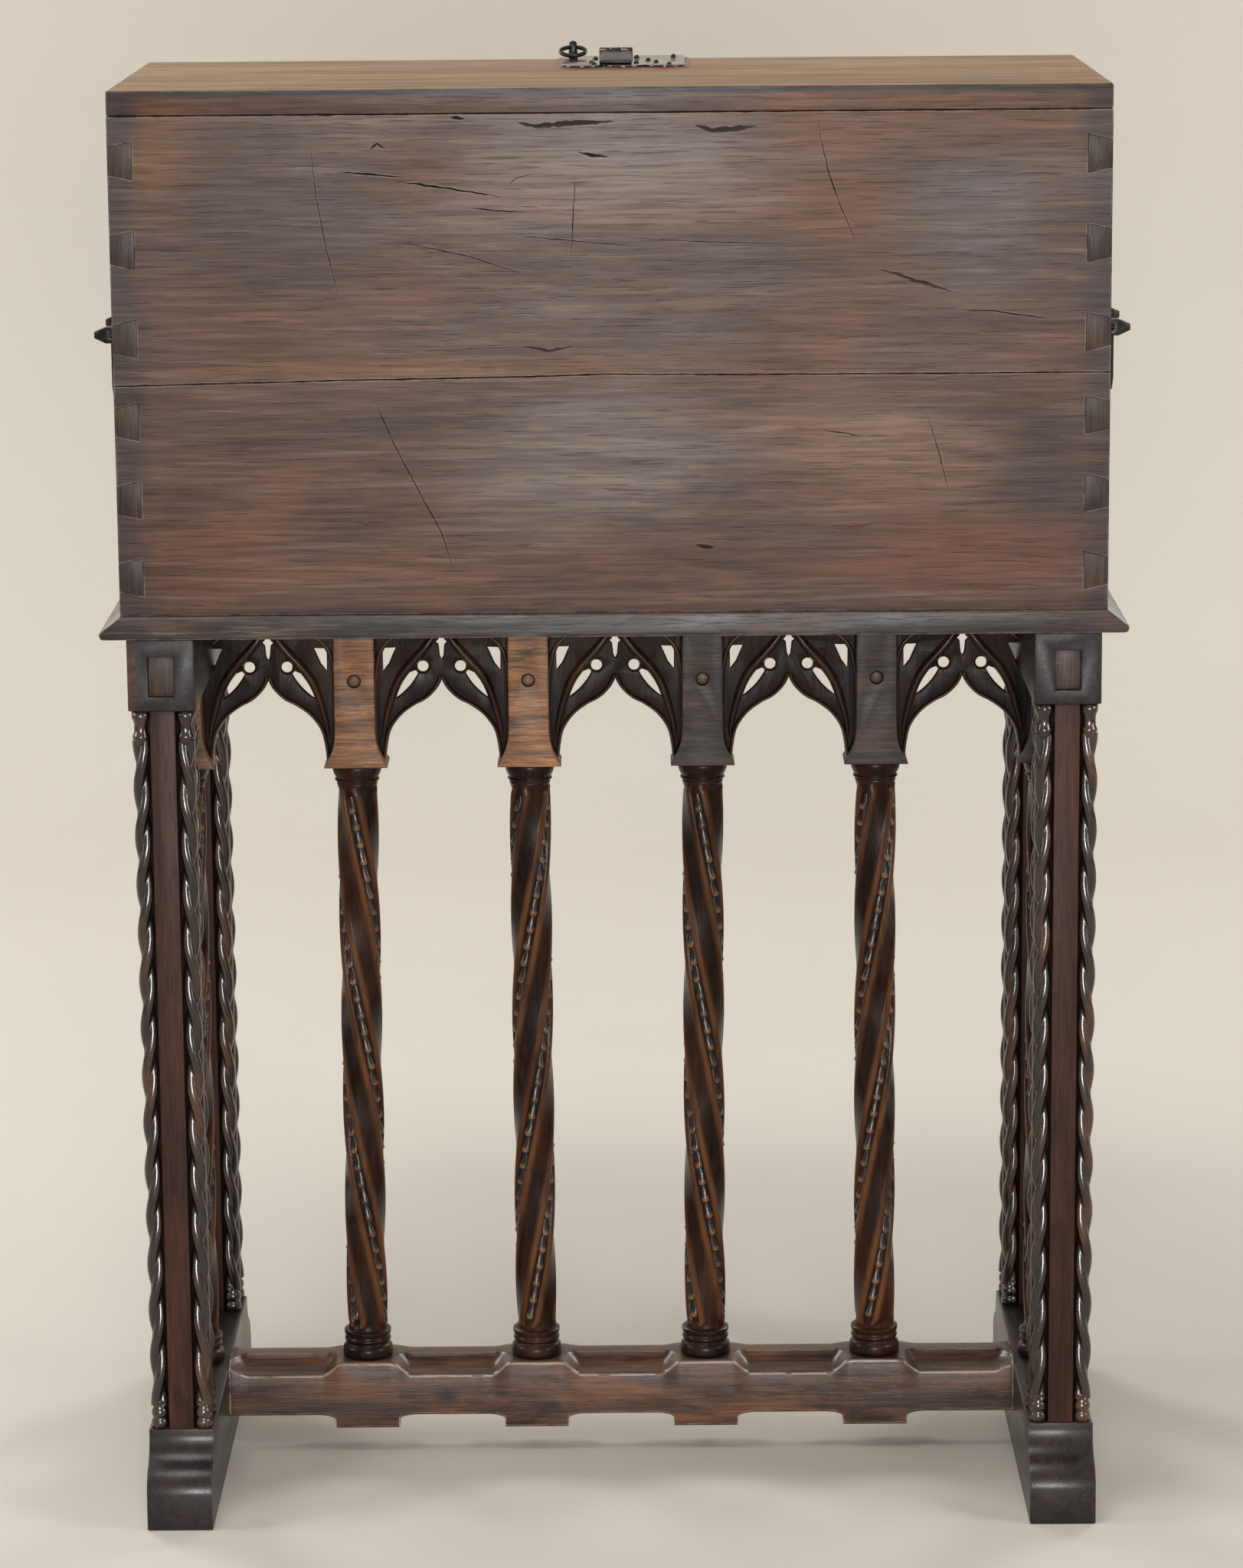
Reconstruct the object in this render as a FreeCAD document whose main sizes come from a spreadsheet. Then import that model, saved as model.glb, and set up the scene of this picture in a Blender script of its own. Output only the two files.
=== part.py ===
import FreeCAD, Part
import math
import os
import re
from types import SimpleNamespace

# Writing chest with a fall front on an arcaded trestle stand.
# Millimetres. Z is up, the floor is Z = 0, the front faces -Y.
# It is built as it stands open: fall front down, lopers out, hasp folded back.

Vec = FreeCAD.Vector

sizes = [
    ("chest_w", 890, "chest width"),
    ("chest_d", 410, "chest depth with the fall closed"),
    ("chest_h", 470, "chest height"),
    ("top_t", 22, "top board"),
    ("side_t", 22, "side boards"),
    ("back_t", 20, "back boards"),
    ("back_joint", 211, "height of the lower back board"),
    ("bottom_t", 20, "bottom board"),
    ("pin_w", 34, "dovetail pin, wide end"),
    ("pin_taper", 5, "dovetail pin, loss on each flank"),
    ("fall_t", 20, "fall front"),
    ("fall_gap", 1, "gap under the closed fall"),
    ("fall_head_gap", 1.5, "gap over the closed fall"),
    ("hinge_x", 300, "outer hinges from the middle"),
    ("leaf_len", 60, "hinge leaf length"),
    ("leaf_w", 18, "hinge leaf width"),
    ("leaf_t", 2, "hinge leaf"),
    ("barrel_r", 4, "hinge barrel"),
    ("barrel_room", 1.5, "room round the barrel"),
    ("pin_r", 2, "hinge pin"),
    ("pin_fit", 0.05, "running fit on every iron pin"),
    ("play", 0.4, "end play beside a knuckle"),
    ("stand_h", 834, "floor to underside of the stand top"),
    ("stand_top_t", 21, "stand top board"),
    ("nose_out", 19, "moulding beyond the chest"),
    ("nose_low", 6, "height of the nose under the slope"),
    ("nose_round", 4, "round under the nose"),
    ("rear_out", 7, "stand top beyond the chest back"),
    ("trestle_in", 35.5, "trestle inside the chest side"),
    ("rail_w", 61, "top rail width"),
    ("rail_h", 66, "top rail height"),
    ("rail_len", 416, "top rail length"),
    ("loper_w", 23, "loper bar width"),
    ("loper_h", 36, "loper bar height"),
    ("loper_gap", 0.3, "running gap round the loper"),
    ("channel_up", 13, "channel above the rail underside"),
    ("plug_len", 20, "channel plug length"),
    ("plug_in", 4, "channel plug behind the rail end"),
    ("plug_high", 12, "upper plug piece"),
    ("loper_out", 250, "loper travel"),
    ("loper_stop", 3, "loper end from the plug when pushed in"),
    ("head_w", 48, "loper head width"),
    ("head_len", 34, "loper head depth"),
    ("head_low", 84, "loper head height"),
    ("head_clear", 2, "loper head from the nose when pushed in"),
    ("post_w", 57, "post over its colonnettes"),
    ("post_strip", 23, "flat strip of the post"),
    ("post_in", 2, "strip face behind the colonnettes"),
    ("post_y", 178, "post from the middle"),
    ("rope_r", 8.2, "colonnettes at the post corners"),
    ("foot_h", 86, "sled foot height"),
    ("foot_len", 486, "sled foot length"),
    ("foot_toe", 38, "sled toe beyond the rail"),
    ("toe_h", 34, "upright toe height"),
    ("toe_fillet", 6, "upright over the sled curve"),
    ("stretcher_d", 60, "low stretcher depth"),
    ("stretcher_top", 91, "stretcher top under the columns"),
    ("stretcher_dip", 12, "dip of the top between columns"),
    ("dip_run", 20, "length of the ogee into a dip"),
    ("trough_len", 94, "trough in the stretcher top"),
    ("trough_w", 36, "trough width"),
    ("trough_deep", 9, "trough depth"),
    ("stretcher_low", 38, "stretcher lower edge"),
    ("drop_low", 25, "underside of the drop blocks"),
    ("drop_w", 62, "drop block width"),
    ("drop_side", 8, "upright side of a drop block"),
    ("cove_run", 18, "cove beside a drop block"),
    ("seat_w", 47, "flat seat under a column"),
    ("tenon_len", 20, "stretcher tenon length"),
    ("tenon_h", 30, "stretcher tenon height"),
    ("tenon_d", 26, "stretcher tenon depth"),
    ("arcade_h", 157.5, "impost feet below the stand top"),
    ("capital_h", 18.5, "capital height"),
    ("base_h", 27, "column base height"),
    ("shaft_r", 19, "spiral shaft"),
    ("groove_in", 3.5, "depth of the spiral grooves"),
    ("ridge_out", 0.4, "ridge beside each groove"),
    ("bell_r", 23.8, "capital bell"),
    ("torus_r", 24.2, "base torus"),
    ("impost_w", 38, "impost width"),
    ("impost_foot", 61, "impost width at its foot"),
    ("impost_flare", 35.5, "height of the impost flare"),
    ("impost_d", 50, "impost depth"),
    ("peg_r", 6.5, "peg hole"),
    ("peg_in", 1.5, "peg end behind the impost face"),
    ("peg_fit", 0.05, "peg fit"),
    ("peg_up", 83.5, "peg above the impost foot"),
    ("tracery_t", 18, "tracery plate"),
    ("arch_in", 27.4, "arch foot from the column axis"),
    ("arch_rise", 83.4, "rise of the arch"),
    ("nest_in", 26, "drawer fronts behind the carcass edge"),
    ("upright_t", 10, "drawer nest uprights"),
    ("shelf_t", 8, "drawer nest shelves"),
    ("drawer_gap", 0.6, "gap beside a drawer"),
    ("drawer_under", 0.3, "gap under a drawer"),
    ("drawer_over", 1.5, "gap over a drawer"),
    ("drawer_behind", 6, "gap behind a drawer"),
    ("front_t", 14, "drawer front"),
    ("wall_t", 8, "drawer sides and back"),
    ("floor_t", 6, "drawer bottom"),
    ("knob_r", 9, "drawer knob"),
    ("knob_out", 18, "drawer knob length"),
    ("hasp_x", -5, "hasp from the middle"),
    ("plate_x", -12, "hasp plate from the middle"),
    ("plate_w", 116, "hasp plate width"),
    ("plate_d", 155, "hasp plate depth"),
    ("plate_t", 2, "iron plates"),
    ("cloth_t", 0.8, "cloth under the plate"),
    ("cloth_out", 4, "cloth beyond the plate"),
    ("hasp_out", 3, "hasp axis before the top"),
    ("hasp_up", 3.5, "hasp axis above the plate"),
    ("hasp_barrel_r", 4, "hasp barrel"),
    ("hasp_barrel_len", 32, "hasp barrel length"),
    ("strap_w", 30, "hasp strap width"),
    ("strap_len", 140, "hasp strap length"),
    ("strap_t", 3, "hasp strap"),
    ("strap_gap", 0.5, "closed strap from the lock plate"),
    ("lock_w", 110, "lock plate width"),
    ("lock_h", 120, "lock plate height"),
    ("lock_down", 10, "lock plate under the fall's upper edge"),
    ("eye_x", 36, "ring eye from the middle"),
    ("eye_back", 12, "ring eye behind the front edge"),
    ("eye_r", 4.5, "ring eye post"),
    ("eye_h", 15, "ring eye height"),
    ("hole_up", 9, "ring hole above the plate"),
    ("ring_big", 12, "pull ring radius"),
    ("ring_wire", 2, "pull ring wire"),
    ("ring_room", 1.3, "room round the ring wire"),
    ("ring_rest", 0.3, "ring above the plate at rest"),
    ("handle_z", 237, "side handle above the chest bottom"),
    ("handle_half", 52, "handle eye from the middle"),
    ("handle_plate_w", 150, "handle plate length"),
    ("handle_plate_h", 44, "handle plate height"),
    ("post_out", 30, "handle eye beyond the plate"),
    ("post_r", 8, "handle eye"),
    ("bail_out", 12, "bail axis beyond the plate"),
    ("bail_r", 4.5, "bail rod"),
    ("bail_pin_r", 3, "bail pins"),
    ("bail_drop", 58, "bail drop"),
    ("bail_gap", 0.5, "bail leg from the eye"),
]

columns = 4
bays = columns + 1
starts = 3
turns = 1
drawer_columns = 3
drawer_rows = 3
pins_per_board = 3

os.makedirs("parts", exist_ok=True)
doc = FreeCAD.newDocument("writing_chest")
sheet = doc.addObject("Spreadsheet::Sheet", "dims")
for row, (alias, size, note) in enumerate(sizes, 1):
    sheet.set(f"A{row}", alias)
    sheet.set(f"B{row}", str(size))
    sheet.set(f"C{row}", note)
    sheet.setAlias(f"B{row}", alias)
doc.recompute()
d = SimpleNamespace(**{alias: float(sheet.get(alias)) for alias, size, note in sizes})

nodes = {}


def bound(text):
    return re.sub(r"[a-z][a-z_]+", lambda word: "dims." + word.group(0), text)


def box(name, size, corner):
    item = doc.addObject("Part::Box", name)
    for prop, text in zip(("Length", "Width", "Height"), size):
        item.setExpression(prop, bound(text))
    for axis, text in zip("xyz", corner):
        item.setExpression("Placement.Base." + axis, bound(text))
    return item


def fuse(name, items):
    item = doc.addObject("Part::MultiFuse", name)
    item.Shapes = items
    item.Refine = True
    return item


def cut(name, base, tool):
    item = doc.addObject("Part::Cut", name)
    item.Base = base
    item.Tool = tool
    item.Refine = True
    return item


def solid(name, shapes):
    item = doc.addObject("Part::Feature", name)
    item.Shape = shapes[0] if len(shapes) == 1 else Part.makeCompound(shapes)
    return item


def block(x_low, x_high, y_low, y_high, z_low, z_high):
    size = (x_high - x_low, y_high - y_low, z_high - z_low)
    return Part.makeBox(*size, Vec(x_low, y_low, z_low))


def rod(radius, start, way, length):
    return Part.makeCylinder(radius, length, start, way)


def skinned(rings, twisted):
    # flat faces between rings of equally many corners, closed by the first and the last
    loops = [rings[0], rings[-1]]
    for low, high in zip(rings, rings[1:]):
        for i in range(len(low)):
            a, b, c, e = low[i - 1], low[i], high[i], high[i - 1]
            loops += [[a, b, c], [a, c, e]] if twisted else [[a, b, c, e]]
    faces = [Part.Face(Part.makePolygon(loop + loop[:1])) for loop in loops]
    body = Part.Solid(Part.Shell(faces))
    if body.Volume < 0:
        body.reverse()
    return body


def faceted(profile, sides):
    # a many-sided solid about Z from (radius, height) pairs
    rings = []
    for r, z in profile:
        angles = [(i + 0.5) * 2 * math.pi / sides for i in range(sides)]
        rings.append([Vec(r * math.cos(angle), r * math.sin(angle), z) for angle in angles])
    return skinned(rings, False)


def arc(a, b, c):
    return Part.Arc(a, b, c).toShape()


def at(shape, x, y, z):
    return shape.translated(Vec(x, y, z))


def mirrored(shape):
    return shape.mirror(Vec(0, 0, 0), Vec(1, 0, 0))


X = Vec(1, 0, 0)
Y = Vec(0, 1, 0)
Z = Vec(0, 0, 1)

# Levels and planes, as texts for the bound boxes and as numbers for the rest.
FALL_H = "(chest_h - top_t - fall_gap - fall_head_gap)"
MID_Y = f"((chest_d / 2 + fall_gap / 2 + {FALL_H} - foot_len / 2) / 2)"
CHEST_Z = "(stand_h + stand_top_t)"
LID_Z = f"({CHEST_Z} + chest_h - top_t)"
RAIL_Z = "(stand_h - rail_h)"
TRESTLE_X = "(chest_w / 2 - trestle_in)"
fall_h = d.chest_h - d.top_t - d.fall_gap - d.fall_head_gap
mid_y = (d.chest_d / 2 + d.fall_gap / 2 + fall_h - d.foot_len / 2) / 2
chest_z = d.stand_h + d.stand_top_t
lid_z = chest_z + d.chest_h - d.top_t
rail_z = d.stand_h - d.rail_h
trestle_x = d.chest_w / 2 - d.trestle_in
capital_top = d.stand_h - d.arcade_h
front_y = mid_y - d.chest_d / 2
rear_y = mid_y + d.chest_d / 2
carcass_y = front_y + d.fall_t
axis_z = chest_z + d.fall_gap / 2
bay = 2 * trestle_x / bays
arch_half = bay / 2 - d.arch_in
column_x = [trestle_x - bay * (i + 1) for i in range(columns)]
hinge_places = [-d.hinge_x, d.hinge_x]

# Chest carcass: dovetailed back and sides under an overlapping top.
nodes["chest_top"] = box(
    "chest_top",
    ("chest_w", "chest_d", "top_t"),
    ("-chest_w / 2", f"{MID_Y} - chest_d / 2", LID_Z),
)
nodes["chest_bottom"] = box(
    "chest_bottom",
    ("chest_w - 2 * side_t", "chest_d - fall_t - back_t", "bottom_t"),
    ("-chest_w / 2 + side_t", f"{MID_Y} - chest_d / 2 + fall_t", CHEST_Z),
)
joint_z = chest_z + d.back_joint


def dovetail_pins(low, high):
    inner = d.chest_w / 2 - d.side_t
    outer = d.chest_w / 2
    wide = d.pin_w / 2
    narrow = d.pin_w / 2 - d.pin_taper
    pins = []
    for i in range(pins_per_board):
        z = low + (high - low) * (i + 0.5) / pins_per_board
        corners = [(inner, z - wide), (outer, z - narrow), (outer, z + narrow), (inner, z + wide)]
        points = [Vec(x, rear_y - d.back_t, h) for x, h in corners]
        face = Part.Face(Part.makePolygon(points + points[:1]))
        pins.append(face.extrude(Y * d.back_t))
    return pins


low_pins = dovetail_pins(chest_z, joint_z)
high_pins = dovetail_pins(joint_z, lid_z)
side = block(
    d.chest_w / 2 - d.side_t, d.chest_w / 2, carcass_y, rear_y - d.back_t, chest_z, lid_z
)
side = side.fuse(low_pins + high_pins).removeSplitter()
nodes["chest_side_left"] = solid("chest_side_left", [mirrored(side)])
nodes["chest_side_right"] = solid("chest_side_right", [side])


def back_board(low, high, pins):
    board = block(-d.chest_w / 2, d.chest_w / 2, rear_y - d.back_t, rear_y, low, high)
    return board.cut(pins + [mirrored(p) for p in pins])


nodes["back_board_lower"] = solid("back_board_lower", [back_board(chest_z, joint_z, low_pins)])
nodes["back_board_upper"] = solid("back_board_upper", [back_board(joint_z, lid_z, high_pins)])

# Drawer nest behind the fall.
nest_y = carcass_y + d.nest_in
nest_back = rear_y - d.back_t
inner_w = d.chest_w - 2 * d.side_t
floor_z = chest_z + d.bottom_t
inner_h = lid_z - floor_z
cell_w = (inner_w - (drawer_columns - 1) * d.upright_t) / drawer_columns
cell_h = (inner_h - drawer_rows * d.shelf_t) / drawer_rows


def cell_left(i):
    return -inner_w / 2 + i * (cell_w + d.upright_t)


def shelf_z(j):
    return floor_z + j * (cell_h + d.shelf_t)


nest = []
for i in range(1, drawer_columns):
    x = cell_left(i) - d.upright_t
    nest.append(block(x, x + d.upright_t, nest_y, nest_back, floor_z, lid_z))
for i in range(drawer_columns):
    for j in range(drawer_rows):
        x, z = cell_left(i), shelf_z(j)
        nest.append(block(x, x + cell_w, nest_y, nest_back, z, z + d.shelf_t))
nodes["drawer_partitions"] = solid("drawer_partitions", nest)


def drawer(i, j):
    x_low = cell_left(i) + d.drawer_gap
    x_high = cell_left(i) + cell_w - d.drawer_gap
    z_low = shelf_z(j) + d.shelf_t + d.drawer_under
    z_high = shelf_z(j) + d.shelf_t + cell_h - d.drawer_over
    y_low = nest_y
    y_high = nest_back - d.drawer_behind
    body_y = y_low + d.front_t
    middle = (x_low + x_high) / 2
    wall_z = z_high - d.wall_t
    boards = [
        block(x_low, x_high, y_low, body_y, z_low, z_high),
        block(x_low, x_low + d.wall_t, body_y, y_high, z_low, wall_z),
        block(x_high - d.wall_t, x_high, body_y, y_high, z_low, wall_z),
        block(x_low + d.wall_t, x_high - d.wall_t, y_high - d.wall_t, y_high, z_low, wall_z),
        block(
            x_low + d.wall_t, x_high - d.wall_t, body_y, y_high - d.wall_t, z_low, z_low + d.floor_t
        ),
    ]
    knob = faceted(
        [
            (0.45 * d.knob_r, 0),
            (0.45 * d.knob_r, 0.35 * d.knob_out),
            (d.knob_r, 0.6 * d.knob_out),
            (0.9 * d.knob_r, 0.85 * d.knob_out),
            (0.4 * d.knob_r, d.knob_out),
        ],
        8,
    )
    knob.rotate(Vec(0, 0, 0), X, 90)
    boards.append(at(knob, middle, y_low, (z_low + z_high) / 2))
    return boards


for j in range(drawer_rows):
    for i in range(drawer_columns):
        name = f"drawer_{j * drawer_columns + i + 1}"
        nodes[name] = solid(name, drawer(i, j))

# Stand top: sloping nose moulding on both ends and the front, plain at the back.
half_w = d.chest_w / 2
slope_z = d.stand_h + d.nose_low
slab = block(
    -half_w - d.nose_out, half_w + d.nose_out, front_y - d.nose_out, rear_y + d.rear_out,
    d.stand_h, slope_z,
)
rounded = []
for edge in slab.Edges:
    centre = edge.CenterOfMass
    low = abs(centre.z - d.stand_h) < 0.01
    if low and centre.y < rear_y:
        rounded.append(edge)
slab = slab.makeFillet(min(d.nose_round, 0.9 * d.nose_low), rounded)


def rectangle(out, z):
    corners = [
        (-half_w - out, front_y - out), (half_w + out, front_y - out),
        (half_w + out, rear_y + d.rear_out), (-half_w - out, rear_y + d.rear_out),
    ]
    points = [Vec(x, y, z) for x, y in corners]
    return Part.makePolygon(points + points[:1])


slope = Part.makeLoft([rectangle(d.nose_out, slope_z), rectangle(0, chest_z)], True, True)
stand_top = slab.fuse(slope).removeSplitter()
leaf_half = d.leaf_len / 2
room = d.barrel_r + d.barrel_room
for x in hinge_places:
    barrel_bed = block(
        x - leaf_half - 0.5, x + leaf_half + 0.5, front_y - room - d.nose_out,
        front_y + room, axis_z - room, chest_z + 1,
    )
    leaf_bed = block(
        x - leaf_half, x + leaf_half, front_y, front_y + d.leaf_w, chest_z - d.leaf_t, chest_z + 1
    )
    stand_top = stand_top.cut([barrel_bed, leaf_bed])
nodes["stand_top"] = solid("stand_top", [stand_top])

# Fall front, lying open, on two hinges of two knuckles each.
knuckle = d.leaf_len / 2
fixed_leaves, moving_leaves, fall_beds = [], [], []
for x in hinge_places:
    start = Vec(x - leaf_half, front_y, axis_z)
    pin = rod(d.pin_r, start, X, d.leaf_len)
    held = rod(d.barrel_r, start, X, knuckle)
    leaf = block(
        x - leaf_half, x + leaf_half, front_y, front_y + d.leaf_w, chest_z - d.leaf_t, chest_z
    )
    mouth = rod(d.barrel_r + d.play, start + X * knuckle, X, knuckle)
    fixed_leaves.append(leaf.cut(mouth).fuse([held, pin]).removeSplitter())
    leaf_y = front_y - d.fall_gap / 2
    flap = block(
        x - leaf_half, x + leaf_half, leaf_y - d.leaf_t, leaf_y, axis_z, axis_z + d.leaf_w
    )
    flap = flap.cut(rod(d.barrel_r + d.play, start, X, knuckle + d.play))
    turning = rod(d.barrel_r, start + X * (knuckle + d.play), X, knuckle - d.play)
    flap = flap.fuse(turning).removeSplitter()
    moving_leaves.append(flap.cut(rod(d.pin_r + d.pin_fit, start, X, d.leaf_len)))
    fall_beds.append(
        block(
            x - leaf_half, x + leaf_half, leaf_y - d.leaf_t, leaf_y + 1, axis_z - 1,
            axis_z + d.leaf_w,
        )
    )
    fall_beds.append(
        block(
            x - leaf_half - 0.5, x + leaf_half + 0.5, front_y - room, front_y + 1, axis_z - 1,
            axis_z + room,
        )
    )
nodes["fall_hinge_fixed"] = solid("fall_hinge_fixed", fixed_leaves)
nodes["fall_hinge_moving"] = solid("fall_hinge_moving", moving_leaves)
fall_blank = box(
    "fall_blank",
    ("chest_w", FALL_H, "fall_t"),
    ("-chest_w / 2", f"{MID_Y} - chest_d / 2 - fall_gap / 2 - {FALL_H}", f"{CHEST_Z} + fall_gap / 2"),
)
nodes["fall_board"] = cut("fall_board", fall_blank, solid("fall_beds", fall_beds))

# Lock plate on the outer face of the fall, which lies underneath when open.
lock_far = front_y - d.fall_gap / 2 - fall_h + d.lock_down
nodes["lock_plate"] = solid(
    "lock_plate",
    [
        block(
            d.hasp_x - d.lock_w / 2, d.hasp_x + d.lock_w / 2, lock_far, lock_far + d.lock_h,
            axis_z - d.plate_t, axis_z,
        )
    ],
)

# Hasp: plate on cloth at the front of the top, strap folded back over it.
cloth_z = chest_z + d.chest_h
plate_z = cloth_z + d.cloth_t


def scalloped(out, low, thick):
    # three round lobes on the rear edge
    left = d.plate_x - d.plate_w / 2 - out
    right = d.plate_x + d.plate_w / 2 + out
    lobe = (right - left) / 3
    waist = front_y + d.plate_d - lobe / 2 + out
    edges = [Part.makeLine(Vec(left, waist, low), Vec(left, front_y, low))]
    edges.append(Part.makeLine(Vec(left, front_y, low), Vec(right, front_y, low)))
    edges.append(Part.makeLine(Vec(right, front_y, low), Vec(right, waist, low)))
    for i in range(3):
        x = right - i * lobe
        tip = Vec(x - lobe / 2, waist + lobe / 2, low)
        edges.append(Part.Arc(Vec(x, waist, low), tip, Vec(x - lobe, waist, low)).toShape())
    return Part.Face(Part.Wire(edges)).extrude(Z * thick)


nodes["hasp_cloth"] = solid("hasp_cloth", [scalloped(d.cloth_out, cloth_z, d.cloth_t)])
hasp_y = front_y - d.hasp_out
hasp_z = plate_z + d.plate_t + d.hasp_up
barrel_start = Vec(d.hasp_x - d.hasp_barrel_len / 2, hasp_y, hasp_z)
third = d.hasp_barrel_len / 3
tongue = block(
    d.hasp_x - d.hasp_barrel_len / 2, d.hasp_x + d.hasp_barrel_len / 2, hasp_y,
    front_y + 1, plate_z, plate_z + d.plate_t,
)
strap_face = d.hasp_out - d.plate_t - d.strap_gap
strap_slot = rod(d.hasp_barrel_r + d.play, barrel_start + X * third, X, third)
neck_slot = block(
    d.hasp_x - third / 2, d.hasp_x + third / 2, hasp_y, hasp_y + strap_face + d.play,
    plate_z, plate_z + d.plate_t,
)
hasp_plate = scalloped(0, plate_z, d.plate_t).fuse(tongue).cut([strap_slot, neck_slot])
hasp_plate = hasp_plate.fuse(
    [
        rod(d.hasp_barrel_r, barrel_start, X, third),
        rod(d.hasp_barrel_r, barrel_start + X * 2 * third, X, third),
        rod(d.pin_r, barrel_start, X, d.hasp_barrel_len),
    ]
).removeSplitter()
nodes["hasp_top_plate"] = solid("hasp_top_plate", [hasp_plate])
strap_high = hasp_z + strap_face
neck_len = d.hasp_up + d.plate_t + d.play
strap = block(
    d.hasp_x - d.strap_w / 2, d.hasp_x + d.strap_w / 2, hasp_y + neck_len,
    hasp_y + d.strap_len, strap_high - d.strap_t, strap_high,
)
neck = block(
    d.hasp_x - third / 2 + d.play, d.hasp_x + third / 2 - d.play, hasp_y,
    hasp_y + neck_len, strap_high - d.strap_t, strap_high,
)
eye = rod(d.hasp_barrel_r, barrel_start + X * (third + d.play), X, third - 2 * d.play)
strap = strap.fuse([neck, eye]).cut(rod(d.pin_r + d.pin_fit, barrel_start, X, d.hasp_barrel_len))
nodes["hasp_strap"] = solid("hasp_strap", [strap.removeSplitter()])

# Ring pull in its eye, beside the hasp.
eye_y = front_y + d.eye_back
eye_foot = plate_z + d.plate_t
hole_z = eye_foot + d.hole_up
eye_post = faceted(
    [
        (d.eye_r, 0),
        (d.eye_r, 0.75 * d.eye_h),
        (0.8 * d.eye_r, 0.92 * d.eye_h),
        (0.3 * d.eye_r, d.eye_h),
    ],
    8,
)
eye_post = at(eye_post, d.eye_x, eye_y, eye_foot)
eye_hole = rod(d.ring_wire + d.ring_room, Vec(d.eye_x - 2 * d.eye_r, eye_y, hole_z), X, 4 * d.eye_r)
nodes["ring_eye"] = solid("ring_eye", [eye_post.cut(eye_hole)])
wire_corners = []
for i in range(6):
    angle = i * math.pi / 3
    across = d.ring_big + d.ring_wire * math.cos(angle)
    wire_corners.append(Vec(across, d.ring_big, d.ring_wire * math.sin(angle)))
ring = Part.Face(Part.makePolygon(wire_corners + wire_corners[:1]))
ring = ring.revolve(Vec(0, d.ring_big, 0), Z, 360)
sink = d.hole_up - d.ring_wire - d.ring_rest
ring_tilt = math.degrees(math.asin(sink / (2 * d.ring_big)))
ring.rotate(Vec(0, 0, 0), X, -ring_tilt)
nodes["ring_pull"] = solid("ring_pull", [at(ring, d.eye_x, eye_y, hole_z)])

# Side handles: plate, two eyes and a hanging bail on each side.
handle_z = chest_z + d.handle_z
face_x = d.chest_w / 2
eye_x = face_x + d.plate_t
plate = block(
    face_x, eye_x, mid_y - d.handle_plate_w / 2, mid_y + d.handle_plate_w / 2,
    handle_z - d.handle_plate_h / 2, handle_z + d.handle_plate_h / 2,
)
nodes["handle_plates"] = solid("handle_plates", [plate, mirrored(plate)])
bail_x = eye_x + d.bail_out
eyes = []
for way in (-1, 1):
    post = faceted(
        [
            (1.3 * d.post_r, 0),
            (1.3 * d.post_r, d.bail_out + d.post_r - 1),
            (0.5 * d.post_r, d.post_out),
        ],
        4,
    )
    post.rotate(Vec(0, 0, 0), Y, 90)
    post = at(post, eye_x, mid_y + way * d.handle_half, handle_z)
    hole_r = (d.bail_pin_r + d.pin_fit) / math.cos(math.pi / 12)
    hole = faceted([(hole_r, -4 * d.post_r), (hole_r, 4 * d.post_r)], 12)
    hole.rotate(Vec(0, 0, 0), X, 90)
    eyes.append(post.cut(at(hole, bail_x, mid_y + way * d.handle_half, handle_z)))
nodes["handle_eyes"] = solid("handle_eyes", eyes + [mirrored(e) for e in eyes])
leg_y = d.handle_half - d.post_r - d.bail_gap - d.bail_r
bend = 2 * d.bail_r
low_z = handle_z - d.bail_drop
left, right = mid_y - leg_y, mid_y + leg_y
corners = [
    (left, handle_z + d.bail_r), (left, low_z + bend), (left + bend, low_z),
    (right - bend, low_z), (right, low_z + bend), (right, handle_z + d.bail_r),
]
path = Part.makePolygon([Vec(bail_x, y, z) for y, z in corners])
section = []
for i in range(9):
    angle = (i + 0.5) * math.pi / 4
    across = Vec(d.bail_r * math.cos(angle), d.bail_r * math.sin(angle), 0)
    section.append(Vec(bail_x, *corners[0]) + across)
section = Part.makePolygon(section)
bail = path.makePipeShell([section], True, False, 1)
pin_reach = leg_y + d.bail_r + d.bail_gap + 2 * d.post_r
bail = bail.fuse(
    [
        rod(d.bail_pin_r, Vec(bail_x, mid_y - pin_reach, handle_z), Y, pin_reach - leg_y),
        rod(d.bail_pin_r, Vec(bail_x, mid_y + leg_y, handle_z), Y, pin_reach - leg_y),
    ]
).removeSplitter()
nodes["bail_left"] = solid("bail_left", [mirrored(bail)])
nodes["bail_right"] = solid("bail_right", [bail])

# Trestles: sled foot, corner posts, channelled top rail and its loper.
toe_y = d.foot_len / 2
heel_y = toe_y - d.foot_toe


def sled_end(way):
    # cyma: hollow under the fillet, then round down to the upright toe
    top = Vec(0, way * heel_y, d.foot_h - d.toe_fillet)
    tip = Vec(0, way * toe_y, d.toe_h)
    mean = (top + tip) * 0.5
    first = Vec(0, way * (heel_y + 0.18 * d.foot_toe), mean.z + 0.18 * (top.z - tip.z))
    second = Vec(0, way * (toe_y - 0.18 * d.foot_toe), mean.z - 0.18 * (top.z - tip.z))
    return [Part.Arc(top, first, mean).toShape(), Part.Arc(mean, second, tip).toShape()]


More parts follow.
